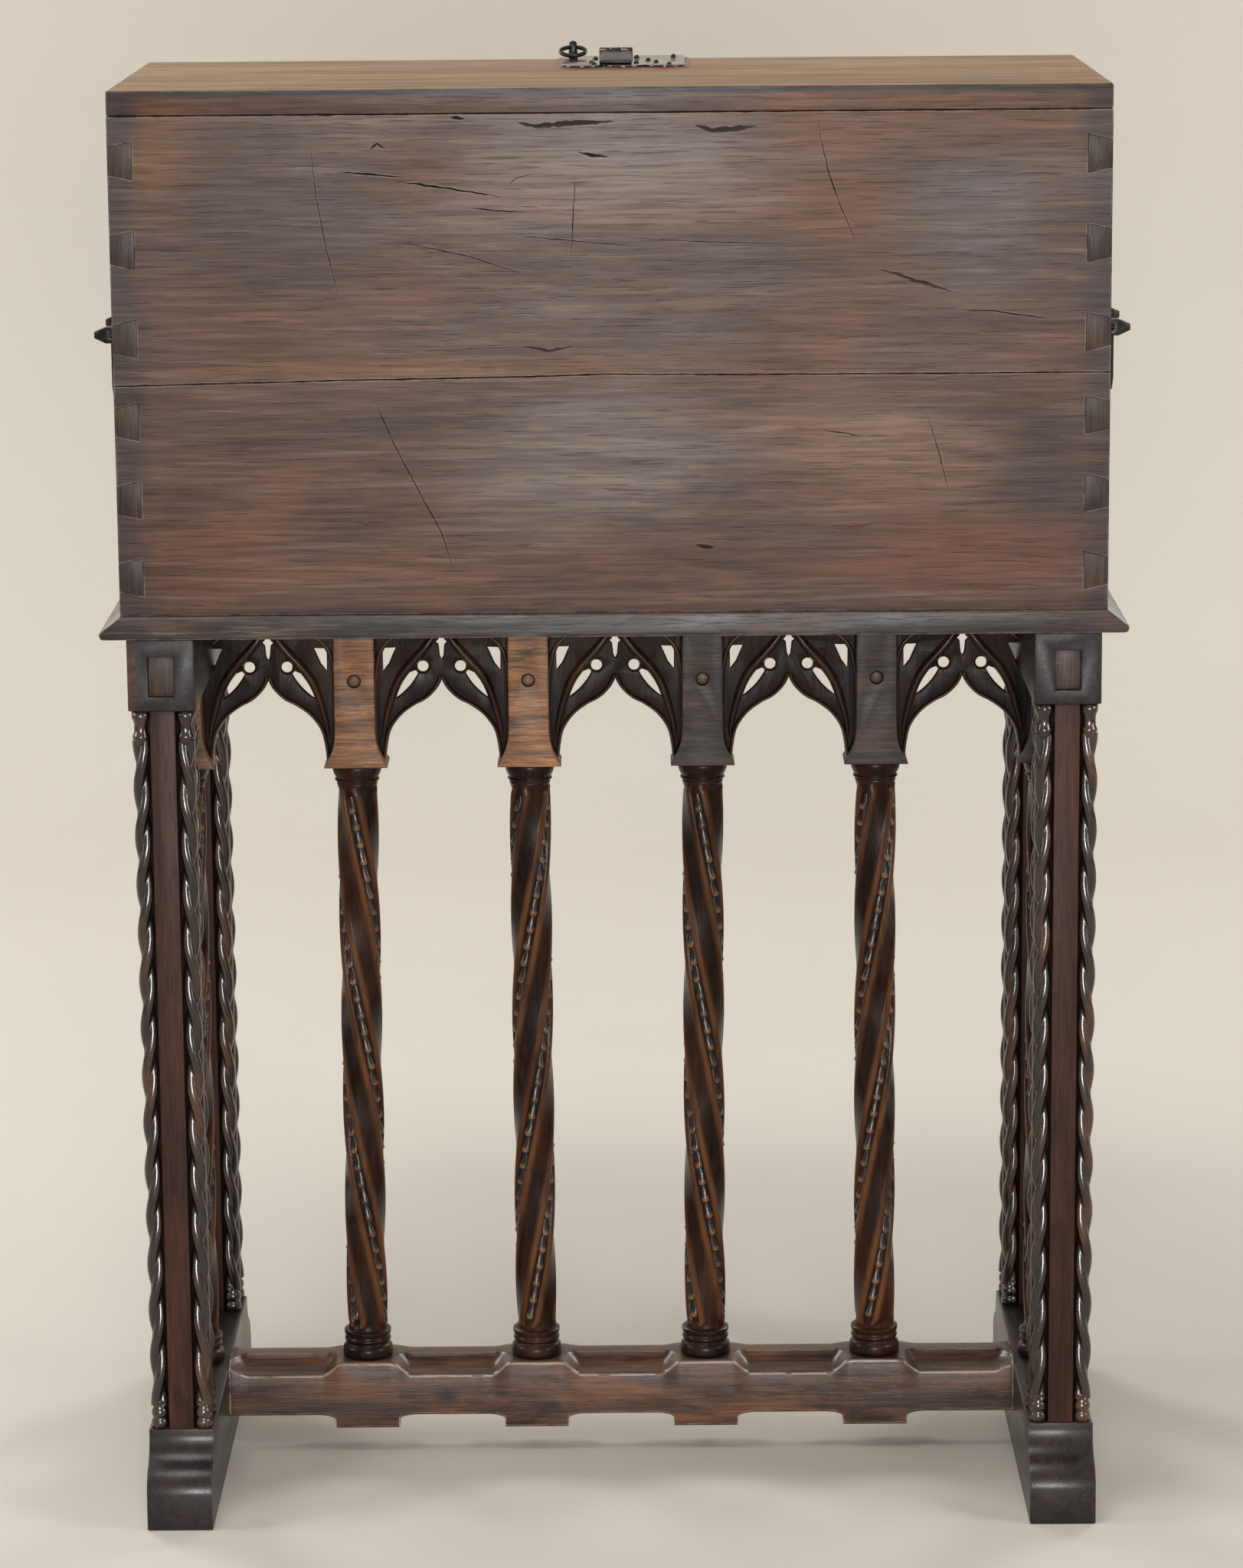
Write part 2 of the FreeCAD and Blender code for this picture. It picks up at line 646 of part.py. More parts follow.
corner = Vec(0, heel_y, d.foot_h)
outline = [Part.makeLine(Vec(0, -heel_y, d.foot_h), corner)]
outline.append(Part.makeLine(corner, Vec(0, heel_y, d.foot_h - d.toe_fillet)))
outline += sled_end(1)
outline.append(Part.makeLine(Vec(0, toe_y, d.toe_h), Vec(0, toe_y, 0)))
outline.append(Part.makeLine(Vec(0, toe_y, 0), Vec(0, -toe_y, 0)))
outline.append(Part.makeLine(Vec(0, -toe_y, 0), Vec(0, -toe_y, d.toe_h)))
outline += sled_end(-1)
outline.append(
    Part.makeLine(Vec(0, -heel_y, d.foot_h - d.toe_fillet), Vec(0, -heel_y, d.foot_h))
)
foot = Part.Face(Part.Wire(Part.sortEdges(outline)[0])).extrude(X * d.rail_w)
foot = at(foot, trestle_x - d.rail_w / 2, mid_y, 0)
foot_in = trestle_x - d.rail_w / 2
tenon_z = (d.stretcher_low + d.foot_h - d.toe_fillet) / 2
tenon = block(
    foot_in, foot_in + d.tenon_len, mid_y - d.tenon_d / 2, mid_y + d.tenon_d / 2,
    tenon_z - d.tenon_h / 2, tenon_z + d.tenon_h / 2,
)
foot = foot.cut(tenon)
nodes["sled_foot_left"] = solid("sled_foot_left", [mirrored(foot)])
nodes["sled_foot_right"] = solid("sled_foot_right", [foot])

POST_H = f"({RAIL_Z} - foot_h)"
for side_name, sign in (("left", "-"), ("right", "")):
    for end_name, way in (("front", "-"), ("rear", "+")):
        name = f"{end_name}_post_{side_name}"
        core = "(post_w - 2 * post_in)"
        place_y = f"{MID_Y} {way} post_y"
        wide = box(
            name + "_across",
            (core, "post_strip", POST_H),
            (f"{sign}{TRESTLE_X} - {core} / 2", f"{place_y} - post_strip / 2", "foot_h"),
        )
        deep = box(
            name + "_along",
            ("post_strip", core, POST_H),
            (f"{sign}{TRESTLE_X} - post_strip / 2", f"{place_y} - {core} / 2", "foot_h"),
        )
        nodes[name] = fuse(name, [wide, deep])
    rail = box(
        f"rail_blank_{side_name}",
        ("rail_w", "rail_len", "rail_h"),
        (f"{sign}{TRESTLE_X} - rail_w / 2", f"{MID_Y} - rail_len / 2", RAIL_Z),
    )
    channel = box(
        f"rail_channel_{side_name}",
        ("loper_w + 2 * loper_gap", "rail_len", "loper_h + 2 * loper_gap"),
        (
            f"{sign}{TRESTLE_X} - loper_w / 2 - loper_gap",
            f"{MID_Y} - rail_len / 2",
            f"{RAIL_Z} + channel_up",
        ),
    )
    nodes[f"top_rail_{side_name}"] = cut(f"top_rail_{side_name}", rail, channel)

channel_low = rail_z + d.channel_up
channel_high = channel_low + d.loper_h + 2 * d.loper_gap
channel_half = d.loper_w / 2 + d.loper_gap
plug_y = mid_y + d.rail_len / 2 - d.plug_in
split_z = channel_high - d.plug_high
plugs = []
for low, high in ((channel_low, split_z), (split_z, channel_high)):
    plug = block(
        trestle_x - channel_half, trestle_x + channel_half, plug_y - d.plug_len, plug_y, low, high
    )
    plugs += [plug, mirrored(plug)]
nodes["loper_channel_plugs"] = solid("loper_channel_plugs", plugs)

bar_rear = plug_y - d.plug_len - d.loper_stop - d.loper_out
head_rear = front_y - d.nose_out - d.head_clear - d.loper_out
bar_z = channel_low + d.loper_gap
head_top = axis_z - d.loper_gap
head_foot = head_top - d.head_low
bar = block(
    trestle_x - d.loper_w / 2, trestle_x + d.loper_w / 2, head_rear, bar_rear,
    bar_z, bar_z + d.loper_h,
)
lip = 0.75 * d.head_len
head_edges = [
    Part.makeLine(Vec(0, 0, head_foot), Vec(0, 0, head_top)),
    Part.makeLine(Vec(0, 0, head_top), Vec(0, -lip, head_top)),
    Part.Arc(
        Vec(0, -lip, head_top),
        Vec(0, -d.head_len, head_top - 0.4 * d.head_low),
        Vec(0, -0.45 * d.head_len, head_foot),
    ).toShape(),
    Part.makeLine(Vec(0, -0.45 * d.head_len, head_foot), Vec(0, 0, head_foot)),
]
head = Part.Face(Part.Wire(head_edges)).extrude(X * d.head_w)
head = at(head, trestle_x - d.head_w / 2, head_rear, 0)
loper = bar.fuse(head).removeSplitter()
nodes["loper_left"] = solid("loper_left", [mirrored(loper)])
nodes["loper_right"] = solid("loper_right", [loper])

rope = faceted([(d.rope_r, d.foot_h), (d.rope_r, rail_z)], 12)
corner = d.post_w / 2 - d.rope_r
ropes = []
for end in (-1, 1):
    for along in (-1, 1):
        for across in (-1, 1):
            x = trestle_x + across * corner
            y = mid_y + end * d.post_y + along * corner
            ropes.append(at(rope, x, y, 0))
nodes["rope_colonnettes_left"] = solid("rope_colonnettes_left", [mirrored(r) for r in ropes])
nodes["rope_colonnettes_right"] = solid("rope_colonnettes_right", ropes)

# Spiral columns: three convex bands and three hollowed grooves wound once round the shaft.
section_steps = [(0, 0), (0.26, 1), (0.35, -1), (0.65, -1), (0.74, 1)]


def section_at(angle, z):
    points = []
    for start in range(starts):
        for step, kind in section_steps:
            turn_at = angle + (start + step) * 2 * math.pi / starts
            radius = d.shaft_r
            if kind > 0:
                radius = d.shaft_r + d.ridge_out
            if kind < 0:
                radius = d.shaft_r - d.groove_in
            points.append(Vec(radius * math.cos(turn_at), radius * math.sin(turn_at), z))
    return points


def column(foot_z, hand):
    low = foot_z + d.base_h
    high = capital_top - d.capital_h
    steps = 12 * turns
    rings = []
    for i in range(steps + 1):
        share = i / steps
        rings.append(section_at(hand * turns * 2 * math.pi * share, low + share * (high - low)))
    shaft = skinned(rings, True)
    foot_part = faceted(
        [
            (d.torus_r, foot_z),
            (d.torus_r, foot_z + 0.42 * d.base_h),
            (d.shaft_r + 1, foot_z + 0.55 * d.base_h),
            (d.shaft_r + 3.2, foot_z + 0.75 * d.base_h),
            (d.shaft_r + 3.2, low),
        ],
        16,
    )
    head_part = faceted(
        [
            (d.shaft_r + 2.2, high),
            (d.shaft_r + 0.8, high + 0.4 * d.capital_h),
            (d.bell_r, capital_top),
        ],
        16,
    )
    return shaft.fuse([foot_part, head_part])


left_hand = column(d.stretcher_top, -1)
right_hand = column(d.stretcher_top, 1)
for i, x in enumerate(column_x):
    name = f"arcade_column_{i + 1}"
    nodes[name] = solid(name, [at(left_hand if i % 2 == 0 else right_hand, x, mid_y, 0)])
trestle_column = column(d.foot_h, 1)
nodes["trestle_column_right"] = solid("trestle_column_right", [at(trestle_column, trestle_x, mid_y, 0)])
nodes["trestle_column_left"] = solid(
    "trestle_column_left", [mirrored(at(trestle_column, trestle_x, mid_y, 0))]
)

# Imposts, each pegged through, and the pierced arch plates between them.
reach = (d.impost_foot - d.impost_w) / 2
flare_r = (reach ** 2 + d.impost_flare ** 2) / (2 * reach)


def impost(top):
    half = d.impost_w / 2
    wide = d.impost_foot / 2
    bend_z = capital_top + d.impost_flare
    lean = 0.5 * math.asin(d.impost_flare / flare_r)
    mid_x = half + flare_r * (1 - math.cos(lean))
    mid_z = bend_z - flare_r * math.sin(lean)

    def spot(x, z):
        return Vec(x, -d.impost_d / 2, z)

    edges = [Part.makeLine(spot(-wide, capital_top), spot(wide, capital_top))]
    for way in (1, -1):
        arc = Part.Arc(
            spot(way * wide, capital_top), spot(way * mid_x, mid_z), spot(way * half, bend_z)
        )
        edges.append(arc.toShape())
        edges.append(Part.makeLine(spot(way * half, bend_z), spot(way * half, top)))
    edges.append(Part.makeLine(spot(half, top), spot(-half, top)))
    wire = Part.Wire(Part.sortEdges(edges)[0])
    return Part.Face(wire).extrude(Y * d.impost_d)


tall = impost(d.stand_h)
peg_z = capital_top + d.peg_up


def peg(radius, length):
    bar = faceted([(radius, -length / 2), (radius, length / 2)], 12)
    bar.rotate(Vec(0, 0, 0), X, 90)
    return at(bar, 0, 0, peg_z)


tall = tall.cut(peg(d.peg_r, 2 * d.impost_d))
short = impost(rail_z)
imposts = [at(tall, x, mid_y, 0) for x in column_x]
imposts += [at(short, x, mid_y, 0) for x in (-trestle_x, trestle_x)]
nodes["arcade_imposts"] = solid("arcade_imposts", imposts)
peg_len = d.impost_d - 2 * d.peg_in
nodes["arcade_pegs"] = solid(
    "arcade_pegs", [at(peg(d.peg_r - d.peg_fit, peg_len), x, mid_y, 0) for x in column_x]
)

# Shares of the half width and of the rise.
soffit = [(1, 0), (0.9, 0.39), (0.48, 0.68), (0.17, 0.81), (0, 1)]
dagger = [(0.38, 1.085), (0.665, 0.995), (0.79, 0.76), (0.555, 0.9)]
lobe_at = (0.325, 1.12, 0.118)
spandrel = [(0.79, 1.34), (1.02, 1.335), (1.015, 1.07), (0.915, 1.155), (0.84, 1.27)]
leaf_slit = [(0, 1.52), (0.05, 1.43), (0.1, 1.4), (0.05, 1.37), (0.03, 1.24), (0, 1.2)]


def arch_plate(half, half_arch, rise, height, pierced):
    def spot(x, z):
        return Vec(x * half_arch, -d.tracery_t / 2, z * rise)

    def prism(edges):
        face = Part.Face(Part.Wire(edges))
        return face.extrude(Y * d.tracery_t)

    start = spot(1, 0)
    edges = []
    for way in (1, -1):
        curve = [spot(way * x, z) for x, z in soffit]
        edges += [arc(*curve[0:3]), arc(*curve[2:5])]
    foot_low = Vec(-half, start.y, 0)
    corners = [
        spot(-1, 0), foot_low, Vec(-half, start.y, height), Vec(half, start.y, height),
        Vec(half, start.y, 0), start,
    ]
    edges += [Part.makeLine(a, b) for a, b in zip(corners, corners[1:])]
    plate = prism(Part.sortEdges(edges)[0])
    if not pierced:
        return plate
    holes = []
    for way in (1, -1):
        tip, over, tail, under = [spot(way * x, z) for x, z in dagger]
        holes.append(prism([arc(tip, over, tail), arc(tail, under, tip)]))
        centre = spot(way * lobe_at[0], lobe_at[1])
        lobe = faceted([(lobe_at[2] * half_arch, 0), (lobe_at[2] * half_arch, d.tracery_t)], 8)
        lobe.rotate(Vec(0, 0, 0), X, -90)
        holes.append(at(lobe, centre.x, centre.y, centre.z))
        loop = [spot(way * x, z) for x, z in spandrel]
        holes.append(Part.Face(Part.makePolygon(loop + loop[:1])).extrude(Y * d.tracery_t))
    loop = [spot(x, z) for x, z in leaf_slit] + [spot(-x, z) for x, z in reversed(leaf_slit[1:-1])]
    holes.append(Part.Face(Part.makePolygon(loop + loop[:1])).extrude(Y * d.tracery_t))
    return plate.cut(holes)


arch = arch_plate(bay / 2, arch_half, d.arch_rise, d.stand_h - capital_top, True)
rails = [
    block(
        trestle_x - d.rail_w / 2, trestle_x + d.rail_w / 2, mid_y - d.rail_len / 2,
        mid_y + d.rail_len / 2, rail_z, d.stand_h,
    )
]
rails.append(mirrored(rails[0]))
blocks = [at(impost(d.stand_h), x, mid_y, 0) for x in column_x]
blocks += [at(short, x, mid_y, 0) for x in (-trestle_x, trestle_x)]
arches = []
for i in range(bays):
    plate = at(arch, trestle_x - bay * (i + 0.5), mid_y, capital_top)
    near = [b for b in blocks + rails if b.BoundBox.intersect(plate.BoundBox)]
    pieces = plate.cut(near).Solids
    arches.append(max(pieces, key=lambda piece: piece.Volume))
nodes["arch_tracery"] = solid("arch_tracery", arches)

post_face = d.post_y - d.post_w / 2 + d.post_in
end_half = (post_face - d.impost_d / 2) / 2
end_height = rail_z - capital_top
shrink = end_height / (d.stand_h - capital_top)
end_arch = arch_plate(
    end_half, arch_half * 2 * end_half / bay * 1.2, d.arch_rise * shrink, end_height, False
)
end_arch.rotate(Vec(0, 0, 0), Z, 90)
end_mid = (post_face + d.impost_d / 2) / 2
ends = []
for x in (-trestle_x, trestle_x):
    for way in (-1, 1):
        ends.append(at(end_arch, x, mid_y + way * end_mid, capital_top))
nodes["end_tracery"] = solid("end_tracery", ends)

# Low stretcher: seats for the columns, troughs between them, drop blocks below.
top, dip = d.stretcher_top, d.stretcher_top - d.stretcher_dip
stations = sorted(column_x)


def spot(x, z):
    return Vec(x, mid_y - d.stretcher_d / 2, z)


def ogee(start, end):
    # two arcs, level at both ends
    run, fall = end[0] - start[0], end[1] - start[1]
    radius = (run ** 2 + fall ** 2) / (4 * abs(fall))
    half = 0.5 * math.asin(abs(run) / (2 * radius))
    along = math.copysign(radius * math.sin(half), run)
    sink = math.copysign(radius * (1 - math.cos(half)), fall)
    mean = spot((start[0] + end[0]) / 2, (start[1] + end[1]) / 2)
    first = spot(start[0] + along, start[1] + sink)
    second = spot(end[0] - along, end[1] - sink)
    return [arc(spot(*start), first, mean), arc(mean, second, spot(*end))]


def cove(start, end):
    # one arc, level at its start
    run, fall = end[0] - start[0], start[1] - end[1]
    radius = (run ** 2 + fall ** 2) / (2 * fall)
    half = 0.5 * math.asin(abs(run) / radius)
    along = math.copysign(radius * math.sin(half), run)
    middle = spot(start[0] + along, start[1] - radius * (1 - math.cos(half)))
    return arc(spot(*start), middle, spot(*end))


def straight(*corners):
    spots = [spot(*c) for c in corners]
    return [Part.makeLine(a, b) for a, b in zip(spots, spots[1:])]


seat = d.seat_w / 2
drop = d.drop_w / 2
drop_top = d.drop_low + d.drop_side
gaps = [(-foot_in, stations[0] - seat)]
gaps += [(a + seat, b - seat) for a, b in zip(stations, stations[1:])]
gaps.append((stations[-1] + seat, foot_in))
edges, troughs = [], []
bulge = (d.trough_w ** 2 / 4 + d.trough_deep ** 2) / (2 * d.trough_deep)
tip = bulge - d.trough_deep
half_len = d.trough_len / 2
trough = faceted([(tip, -half_len), (bulge, -0.7 * half_len), (bulge, 0.7 * half_len), (tip, half_len)], 12)
trough.rotate(Vec(0, 0, 0), Y, 90)
for left, right in gaps:
    z_left = d.foot_h if left == -foot_in else top
    z_right = d.foot_h if right == foot_in else top
    edges += ogee((left, z_left), (left + d.dip_run, dip))
    edges += straight((left + d.dip_run, dip), (right - d.dip_run, dip))
    edges += ogee((right - d.dip_run, dip), (right, z_right))
    troughs.append(at(trough, (left + right) / 2, mid_y, dip + tip))
for x in stations:
    edges += straight((x - seat, top), (x + seat, top))
    edges += straight(
        (x - drop, drop_top), (x - drop, d.drop_low), (x + drop, d.drop_low), (x + drop, drop_top)
    )
    for way in (-1, 1):
        start = (x + way * (drop + d.cove_run), d.stretcher_low)
        edges.append(cove(start, (x + way * drop, drop_top)))
flats = [-foot_in] + [x + way * (drop + d.cove_run) for x in stations for way in (-1, 1)] + [foot_in]
for i in range(0, len(flats), 2):
    edges += straight((flats[i], d.stretcher_low), (flats[i + 1], d.stretcher_low))
for x in (-foot_in, foot_in):
    edges += straight((x, d.stretcher_low), (x, d.foot_h))
stretcher = Part.Face(Part.Wire(Part.sortEdges(edges)[0])).extrude(Y * d.stretcher_d)
stretcher = stretcher.fuse([tenon, mirrored(tenon)]).cut(troughs).removeSplitter()
nodes["low_stretcher"] = solid("low_stretcher", [stretcher])

doc.recompute()
for name, item in nodes.items():
    item.Label = name
    shape = item.Shape
    if "Invalid" in item.State or "Error" in item.State:
        raise RuntimeError(f"{name} failed to build: {item.State}")
    if shape.isNull() or not shape.isValid() or not shape.Solids:
        raise RuntimeError(f"{name} has no valid solid")
    shape.exportStep(f"parts/{name}.step")
print(len(nodes), "nodes,", sum(len(i.Shape.Solids) for i in nodes.values()), "solids")
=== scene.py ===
import bmesh
import bpy
import math
from mathutils import Matrix, Vector, noise


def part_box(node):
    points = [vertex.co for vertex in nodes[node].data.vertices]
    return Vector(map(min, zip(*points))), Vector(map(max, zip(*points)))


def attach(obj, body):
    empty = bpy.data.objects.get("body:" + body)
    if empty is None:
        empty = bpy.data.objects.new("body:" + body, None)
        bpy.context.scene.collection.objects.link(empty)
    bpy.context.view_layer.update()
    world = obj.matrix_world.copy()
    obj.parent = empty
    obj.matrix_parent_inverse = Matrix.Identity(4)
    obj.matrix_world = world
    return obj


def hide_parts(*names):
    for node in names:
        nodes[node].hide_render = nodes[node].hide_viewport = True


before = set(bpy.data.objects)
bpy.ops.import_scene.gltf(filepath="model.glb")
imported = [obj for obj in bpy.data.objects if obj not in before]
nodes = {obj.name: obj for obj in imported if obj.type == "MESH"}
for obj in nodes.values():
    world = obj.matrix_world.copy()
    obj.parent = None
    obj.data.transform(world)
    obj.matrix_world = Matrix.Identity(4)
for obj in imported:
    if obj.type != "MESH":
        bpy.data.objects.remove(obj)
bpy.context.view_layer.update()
print("frame loaded:", len(nodes), "nodes")

# shared node helpers


def fill(tree, node, inputs):
    for key, value in inputs.items():
        if isinstance(value, bpy.types.NodeSocket):
            tree.links.new(value, node.inputs[key])
        else:
            node.inputs[key].default_value = value


def put(tree, kind, inputs=None, **settings):
    node = tree.nodes.new(kind)
    for key, value in settings.items():
        setattr(node, key, value)
    fill(tree, node, inputs or {})
    return node


def calc(tree, operation, first, second=0.0):
    return put(tree, "ShaderNodeMath", {0: first, 1: second}, operation=operation).outputs[0]


def times(tree, first, second):
    return calc(tree, "MULTIPLY", first, second)


def plus(tree, first, second):
    return calc(tree, "ADD", first, second)


def mixColour(tree, factor, first, second, blend="MIX"):
    first, second = (c + (1,) if isinstance(c, tuple) else c for c in (first, second))
    names = {0: factor, 6: first, 7: second}
    return put(tree, "ShaderNodeMix", names, data_type="RGBA", blend_type=blend).outputs[2]


def span(tree, value, low, high, toLow=0.0, toHigh=1.0):
    names = {"Value": value, "From Min": low, "From Max": high, "To Min": toLow, "To Max": toHigh}
    return put(tree, "ShaderNodeMapRange", names, interpolation_type="SMOOTHSTEP").outputs[0]


def stretched(tree, vector, scale, shift=(0, 0, 0)):
    names = {0: vector, 1: scale, 2: shift}
    return put(tree, "ShaderNodeVectorMath", names, operation="MULTIPLY_ADD").outputs[0]


def cloud(tree, vector, scale, detail=3.0, rough=0.55, bend=0.0):
    names = {"Vector": vector, "Scale": scale, "Detail": detail, "Roughness": rough, "Distortion": bend}
    return put(tree, "ShaderNodeTexNoise", names).outputs["Fac"]


def fibres(tree, vector, scale, detail=3.0, rough=0.55, bend=0.0, shift=(0, 0, 0)):
    # noise drawn out along the grain
    return cloud(tree, stretched(tree, vector, scale, shift), 1.0, detail, rough, bend)


def placed(tree, group, inputs):
    return put(tree, "ShaderNodeGroup", inputs, node_tree=group).outputs


def shaderGroup(name, inputs, outputs):
    tree = bpy.data.node_groups.new(name, "ShaderNodeTree")
    for label, kind, value in inputs:
        socket = tree.interface.new_socket(name=label, in_out="INPUT", socket_type="NodeSocket" + kind)
        if value is not None:
            socket.default_value = value
    for label in outputs:
        tree.interface.new_socket(name=label, in_out="OUTPUT", socket_type="NodeSocketFloat")
    return tree, tree.nodes.new("NodeGroupInput").outputs, tree.nodes.new("NodeGroupOutput").inputs


# wood grain along the first axis of the vector
layers = {  # scale, shift, detail, roughness and distortion
    "Streaks": ((3, 60, 60), (0, 0, 0), 7.0, 0.7, 0.8),
    "Fine": ((11, 230, 230), (5.1, 0.7, 2.3), 4.0, 0.6, 0.3),
    "Patches": ((2.6, 8.5, 8.5), (1.7, 4.2, 0.4), 5.0, 0.6, 0.9),
    "Clouds": ((3.1, 11, 11), (8.3, 2.9, 6.1), 5.0, 0.62, 1.1),
    "Pores": ((26, 620, 620), (0, 0, 0), 2.0, 0.5, 0.0),
}
poreReach = (0.56, 0.72)
grain, given, result = shaderGroup("woodGrain", [("Vector", "Vector", None), ("Size", "Float", 1.0)], layers)
names = {0: given["Vector"], "Scale": given["Size"]}
sized = put(grain, "ShaderNodeVectorMath", names, operation="SCALE").outputs[0]
for label, (scale, shift, detail, rough, bend) in layers.items():
    layer = fibres(grain, sized, scale, detail, rough, bend, shift)
    if label == "Pores":
        layer = span(grain, layer, *poreReach)
    grain.links.new(layer, result[label])

# rubbed edges: the rounded normal leaves the true one near an arris
rub = {"width": 0.003, "samples": 6, "facing": (0.99, 0.82), "patch": 55.0, "broken": (0.36, 0.6)}
rubInputs = [("Vector", "Vector", None), ("Width", "Float", rub["width"]), ("Amount", "Float", 1.0)]
rubbed, given, result = shaderGroup("rubbedEdge", rubInputs, ["Mask"])
soft = put(rubbed, "ShaderNodeBevel", {"Radius": given["Width"]}, samples=rub["samples"]).outputs[0]
true = put(rubbed, "ShaderNodeNewGeometry").outputs["Normal"]
facing = put(rubbed, "ShaderNodeVectorMath", {0: soft, 1: true}, operation="DOT_PRODUCT").outputs["Value"]
edge = span(rubbed, facing, *rub["facing"])
broken = span(rubbed, cloud(rubbed, given["Vector"], rub["patch"], 5.0, 0.68), *rub["broken"])
rubbed.links.new(times(rubbed, times(rubbed, edge, broken), given["Amount"]), result["Mask"])

# dark wax and dust in the hollows, and painted shade there: ambient occlusion darkens every recess
waxAndShade = {"reach": 0.01, "samples": 6, "openness": (0.9, 0.3)}
hollow, given, result = shaderGroup("waxAndShadeInHollows", [("Reach", "Float", waxAndShade["reach"])], ["Mask"])
names = {"Distance": given["Reach"]}
openness = put(hollow, "ShaderNodeAmbientOcclusion", names, samples=waxAndShade["samples"]).outputs["AO"]
hollow.links.new(span(hollow, openness, *waxAndShade["openness"]), result["Mask"])
